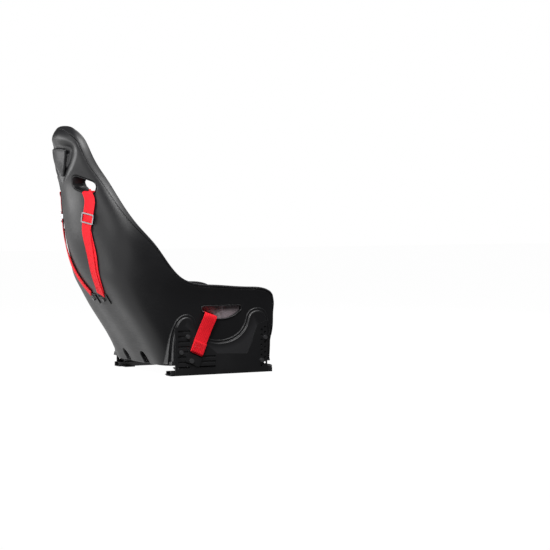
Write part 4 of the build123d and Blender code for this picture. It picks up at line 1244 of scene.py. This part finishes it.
def make_pad(node, look, fill, channels):
    """Stuffed pad in the space of its CAD solid, with its sewn channels pressed in."""
    piece = bpy.data.objects.new(f"pad_{node}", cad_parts[node].data.copy())
    bpy.context.scene.collection.objects.link(piece)
    remesh = piece.modifiers.new("even", "REMESH")
    remesh.mode, remesh.voxel_size = "VOXEL", PAD_VOXEL
    apply_modifiers(piece)
    start = mesh_points(piece) - mesh_normals(piece) * PAD_SHRINK
    set_points(piece, start)
    for _ in range(2):
        smooth = piece.modifiers.new("ease", "SMOOTH")
        smooth.iterations = 6
    apply_modifiers(piece)
    start = mesh_points(piece)
    swell(piece)
    moved = mesh_points(piece) - start
    size = np.linalg.norm(moved, axis=1, keepdims=True)
    moved *= PAD_SWELL * np.tanh(size / PAD_SWELL) / np.maximum(size, 1e-9)
    set_points(piece, start + moved)
    if channels:
        points, normals = mesh_points(piece), mesh_normals(piece)
        press = np.zeros(len(points))
        for axis, place in channels:
            line = points[:, "xyz".index(axis)]
            gap = np.abs(np.abs(line) - abs(place) * MM) if axis == "x" else np.abs(line - place * MM)
            press = np.maximum(press, np.exp(-(gap / CHANNEL_WIDTH) ** 2))
        set_points(piece, points - normals * (press * CHANNEL_DEPTH)[:, None])
    finer = piece.modifiers.new("finer", "SUBSURF")
    finer.levels = finer.render_levels = 1
    apply_modifiers(piece)
    piece.data.polygons.foreach_set("use_smooth", [True] * len(piece.data.polygons))
    slot = "mesh_fabric" if look == "mesh" else "pad_fabric"
    finish_piece(piece, "carriage", M[look], slot, node)
    return piece


def surface_tree(pieces):
    """One search tree over several meshes."""
    points, faces, offset = [], [], 0
    for piece in pieces:
        points += [vertex.co.copy() for vertex in piece.data.vertices]
        faces += [tuple(i + offset for i in face.vertices) for face in piece.data.polygons]
        offset = len(points)
    return BVHTree.FromPolygons(points, faces)


# ------------------------------------------------------------------ studio
def area_light(name, place, target, size, power, color=(1, 1, 1)):
    """Soft rectangular light aimed at a point, in metres."""
    lamp = bpy.data.lights.new(name, "AREA")
    lamp.shape = "RECTANGLE"
    lamp.size, lamp.size_y = size
    lamp.energy = power
    lamp.color = color
    holder = bpy.data.objects.new(name, lamp)
    holder.location = place
    holder.rotation_euler = (Vector(target) - Vector(place)).to_track_quat("-Z", "Y").to_euler()
    bpy.context.scene.collection.objects.link(holder)
    return holder


BOUNCE = 0.85                 # light that the floor behind the seat throws back up


def make_studio():
    """Pale floor, white surroundings for the eye, soft lights, and the camera."""
    floor_mesh = bpy.data.meshes.new("floor")
    reach = 14.0
    floor_mesh.from_pydata([(-reach, -reach, 0), (reach, -reach, 0), (reach, reach, 0), (-reach, reach, 0)],
                           [], [(0, 1, 2, 3)])
    floor = bpy.data.objects.new("floor", floor_mesh)
    bpy.context.scene.collection.objects.link(floor)
    material, tree, shader = new_material("floor_paint", (0.035, 0.035, 0.035), 0.95)
    path = add_node(tree, "ShaderNodeLightPath")
    place = add_node(tree, "ShaderNodeTexCoord").outputs["Object"]
    split = add_node(tree, "ShaderNodeSeparateXYZ", {"Vector": place})
    across = add_node(tree, "ShaderNodeMath", {0: split.outputs["X"], 2: split.outputs["Y"]},
                      operation="MULTIPLY_ADD")
    across.inputs[1].default_value = 0.8
    behind = ramp(tree, across.outputs[0], (0.02, (0.02,)), (0.20, (BOUNCE,)))
    glow = add_node(tree, "ShaderNodeMix", {0: path.outputs["Is Camera Ray"], 2: behind}, data_type="FLOAT")
    glow.inputs[3].default_value = 0.985
    tree.links.new(glow.outputs[0], shader.inputs["Emission Strength"])
    shader.inputs["Emission Color"].default_value = (1, 1, 1, 1)
    shader.inputs["Specular IOR Level"].default_value = 0.0
    floor.data.materials.append(material)

    world = bpy.data.worlds.new("studio")
    bpy.context.scene.world = world
    world.use_nodes = True
    tree = world.node_tree
    background = tree.nodes["Background"]
    seen = add_node(tree, "ShaderNodeBackground", Color=(1, 1, 1, 1), Strength=1.0)
    background.inputs["Color"].default_value = (1, 1, 1, 1)
    background.inputs["Strength"].default_value = 0.04
    choice = add_node(tree, "ShaderNodeMixShader")
    path = add_node(tree, "ShaderNodeLightPath")
    tree.links.new(path.outputs["Is Camera Ray"], choice.inputs[0])
    tree.links.new(background.outputs[0], choice.inputs[1])
    tree.links.new(seen.outputs[0], choice.inputs[2])
    tree.links.new(choice.outputs[0], tree.nodes["World Output"].inputs["Surface"])

    area_light("back_softbox", (1.6, 3.1, 0.75), (0, 0.3, 0.5), (2.8, 1.7), 76)
    area_light("top_softbox", (-0.4, -0.3, 3.2), (0, 0.1, 0.3), (1.4, 2.6), 70)
    area_light("side_strip", (-2.0, 0.1, 3.3), (-0.2, 0.0, 0.2), (0.5, 1.8), 55)
    area_light("camera_key", (-1.8, 1.6, 1.9), (-0.2, 0, 0.3), (1.1, 1.1), 62)
    area_light("front_fill", (1.2, -3.0, 1.6), (0, 0.15, 0.4), (2.0, 2.0), 30)

    data = bpy.data.cameras.new("camera")
    data.lens = 123.03
    data.sensor_width = 36
    camera = bpy.data.objects.new("camera", data)
    camera.location = (-6.0861, 3.0355, 0.6246)
    camera.rotation_euler = Vector((0.8735, -0.4850, -0.0420)).to_track_quat("-Z", "Y").to_euler()
    bpy.context.scene.collection.objects.link(camera)
    bpy.context.scene.camera = camera
    bpy.context.scene.view_settings.view_transform = "Standard"


# ------------------------------------------------------------------ assembly
NODE_LOOKS = {
    "webbing": ["shoulder_strap_rear", "shoulder_strap_front", "lap_strap"],
    "zinc": ["shoulder_adjuster", "adjuster_bar", "shoulder_tongue", "lap_tongue", "latch_plate",
             "lever_springs", "lever_pins"],
    "black": ["shoulder_anchor", "lap_anchor", "side_bracket", "slide_lever"],
    "bolt": ["shoulder_anchor_bolts", "bracket_bolts", "bracket_washers", "lap_anchor_bolts", "rail_bolts"],
    "brass": ["shell_inserts"],
    "buckle": ["buckle_body"],
    "knob": ["release_knob"],
    "rail": ["lower_rail", "upper_rail"],
    "steel": ["rail_balls"],
    "cage": ["ball_cage"],
    "mesh": ["thigh_bolster"],
    "cloth": ["head_pad", "back_pad", "lumbar_pad", "seat_cushion", "back_bolster", "shoulder_pad"],
    "shell": ["slot_bezel", "lap_bezel", "back_shell", "front_shell"],
    "badge": ["rear_badge"],
}


def dress_nodes():
    """Materials of the CAD nodes that stay visible."""
    for look, stems in NODE_LOOKS.items():
        for name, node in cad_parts.items():
            stem = name.removesuffix("_left").removesuffix("_right")
            if stem in stems:
                node.data.materials.clear()
                node.data.materials.append(M[look])


dress_nodes()
SURFACE = shell_sheet()
rear = make_rear_shell(SURFACE)
bosses = [make_boss(side) for side in SIDES.values()]
for boss in bosses:
    sharpen(boss, 50)
rear_shell = join_objects("shell_rear", [rear] + bosses)
finish_piece(rear_shell, "carriage", M["shell"], "shell_plastic", "back_shell")
finish_piece(make_rim_shell(SURFACE), "carriage", M["shell"], "shell_plastic", "front_shell")
finish_piece(make_plaque(), "carriage", M["badge"], "badge_plastic", "rear_badge")
for name, side in SIDES.items():
    lip = tube_lip(f"slot_lip_{name}", slot_outline(side, -0.2), (0, -38, 0), 2.6)
    finish_piece(lip, "carriage", M["shell"], "shell_plastic", f"slot_bezel_{name}")
    lip = tube_lip(f"lap_lip_{name}", lap_outline(side), (-side * 12, 0, 0), 3.6)
    finish_piece(lip, "carriage", M["shell"], "shell_plastic", f"lap_bezel_{name}")

pads = [make_pad(node, *settings) for node, settings in PADS.items()]
PAD_TREE = surface_tree(pads)
for name, side in SIDES.items():
    make_rear_strap(name, side)
    make_front_strap(name, side, PAD_TREE)
    make_lap_strap(name, side)

make_studio()
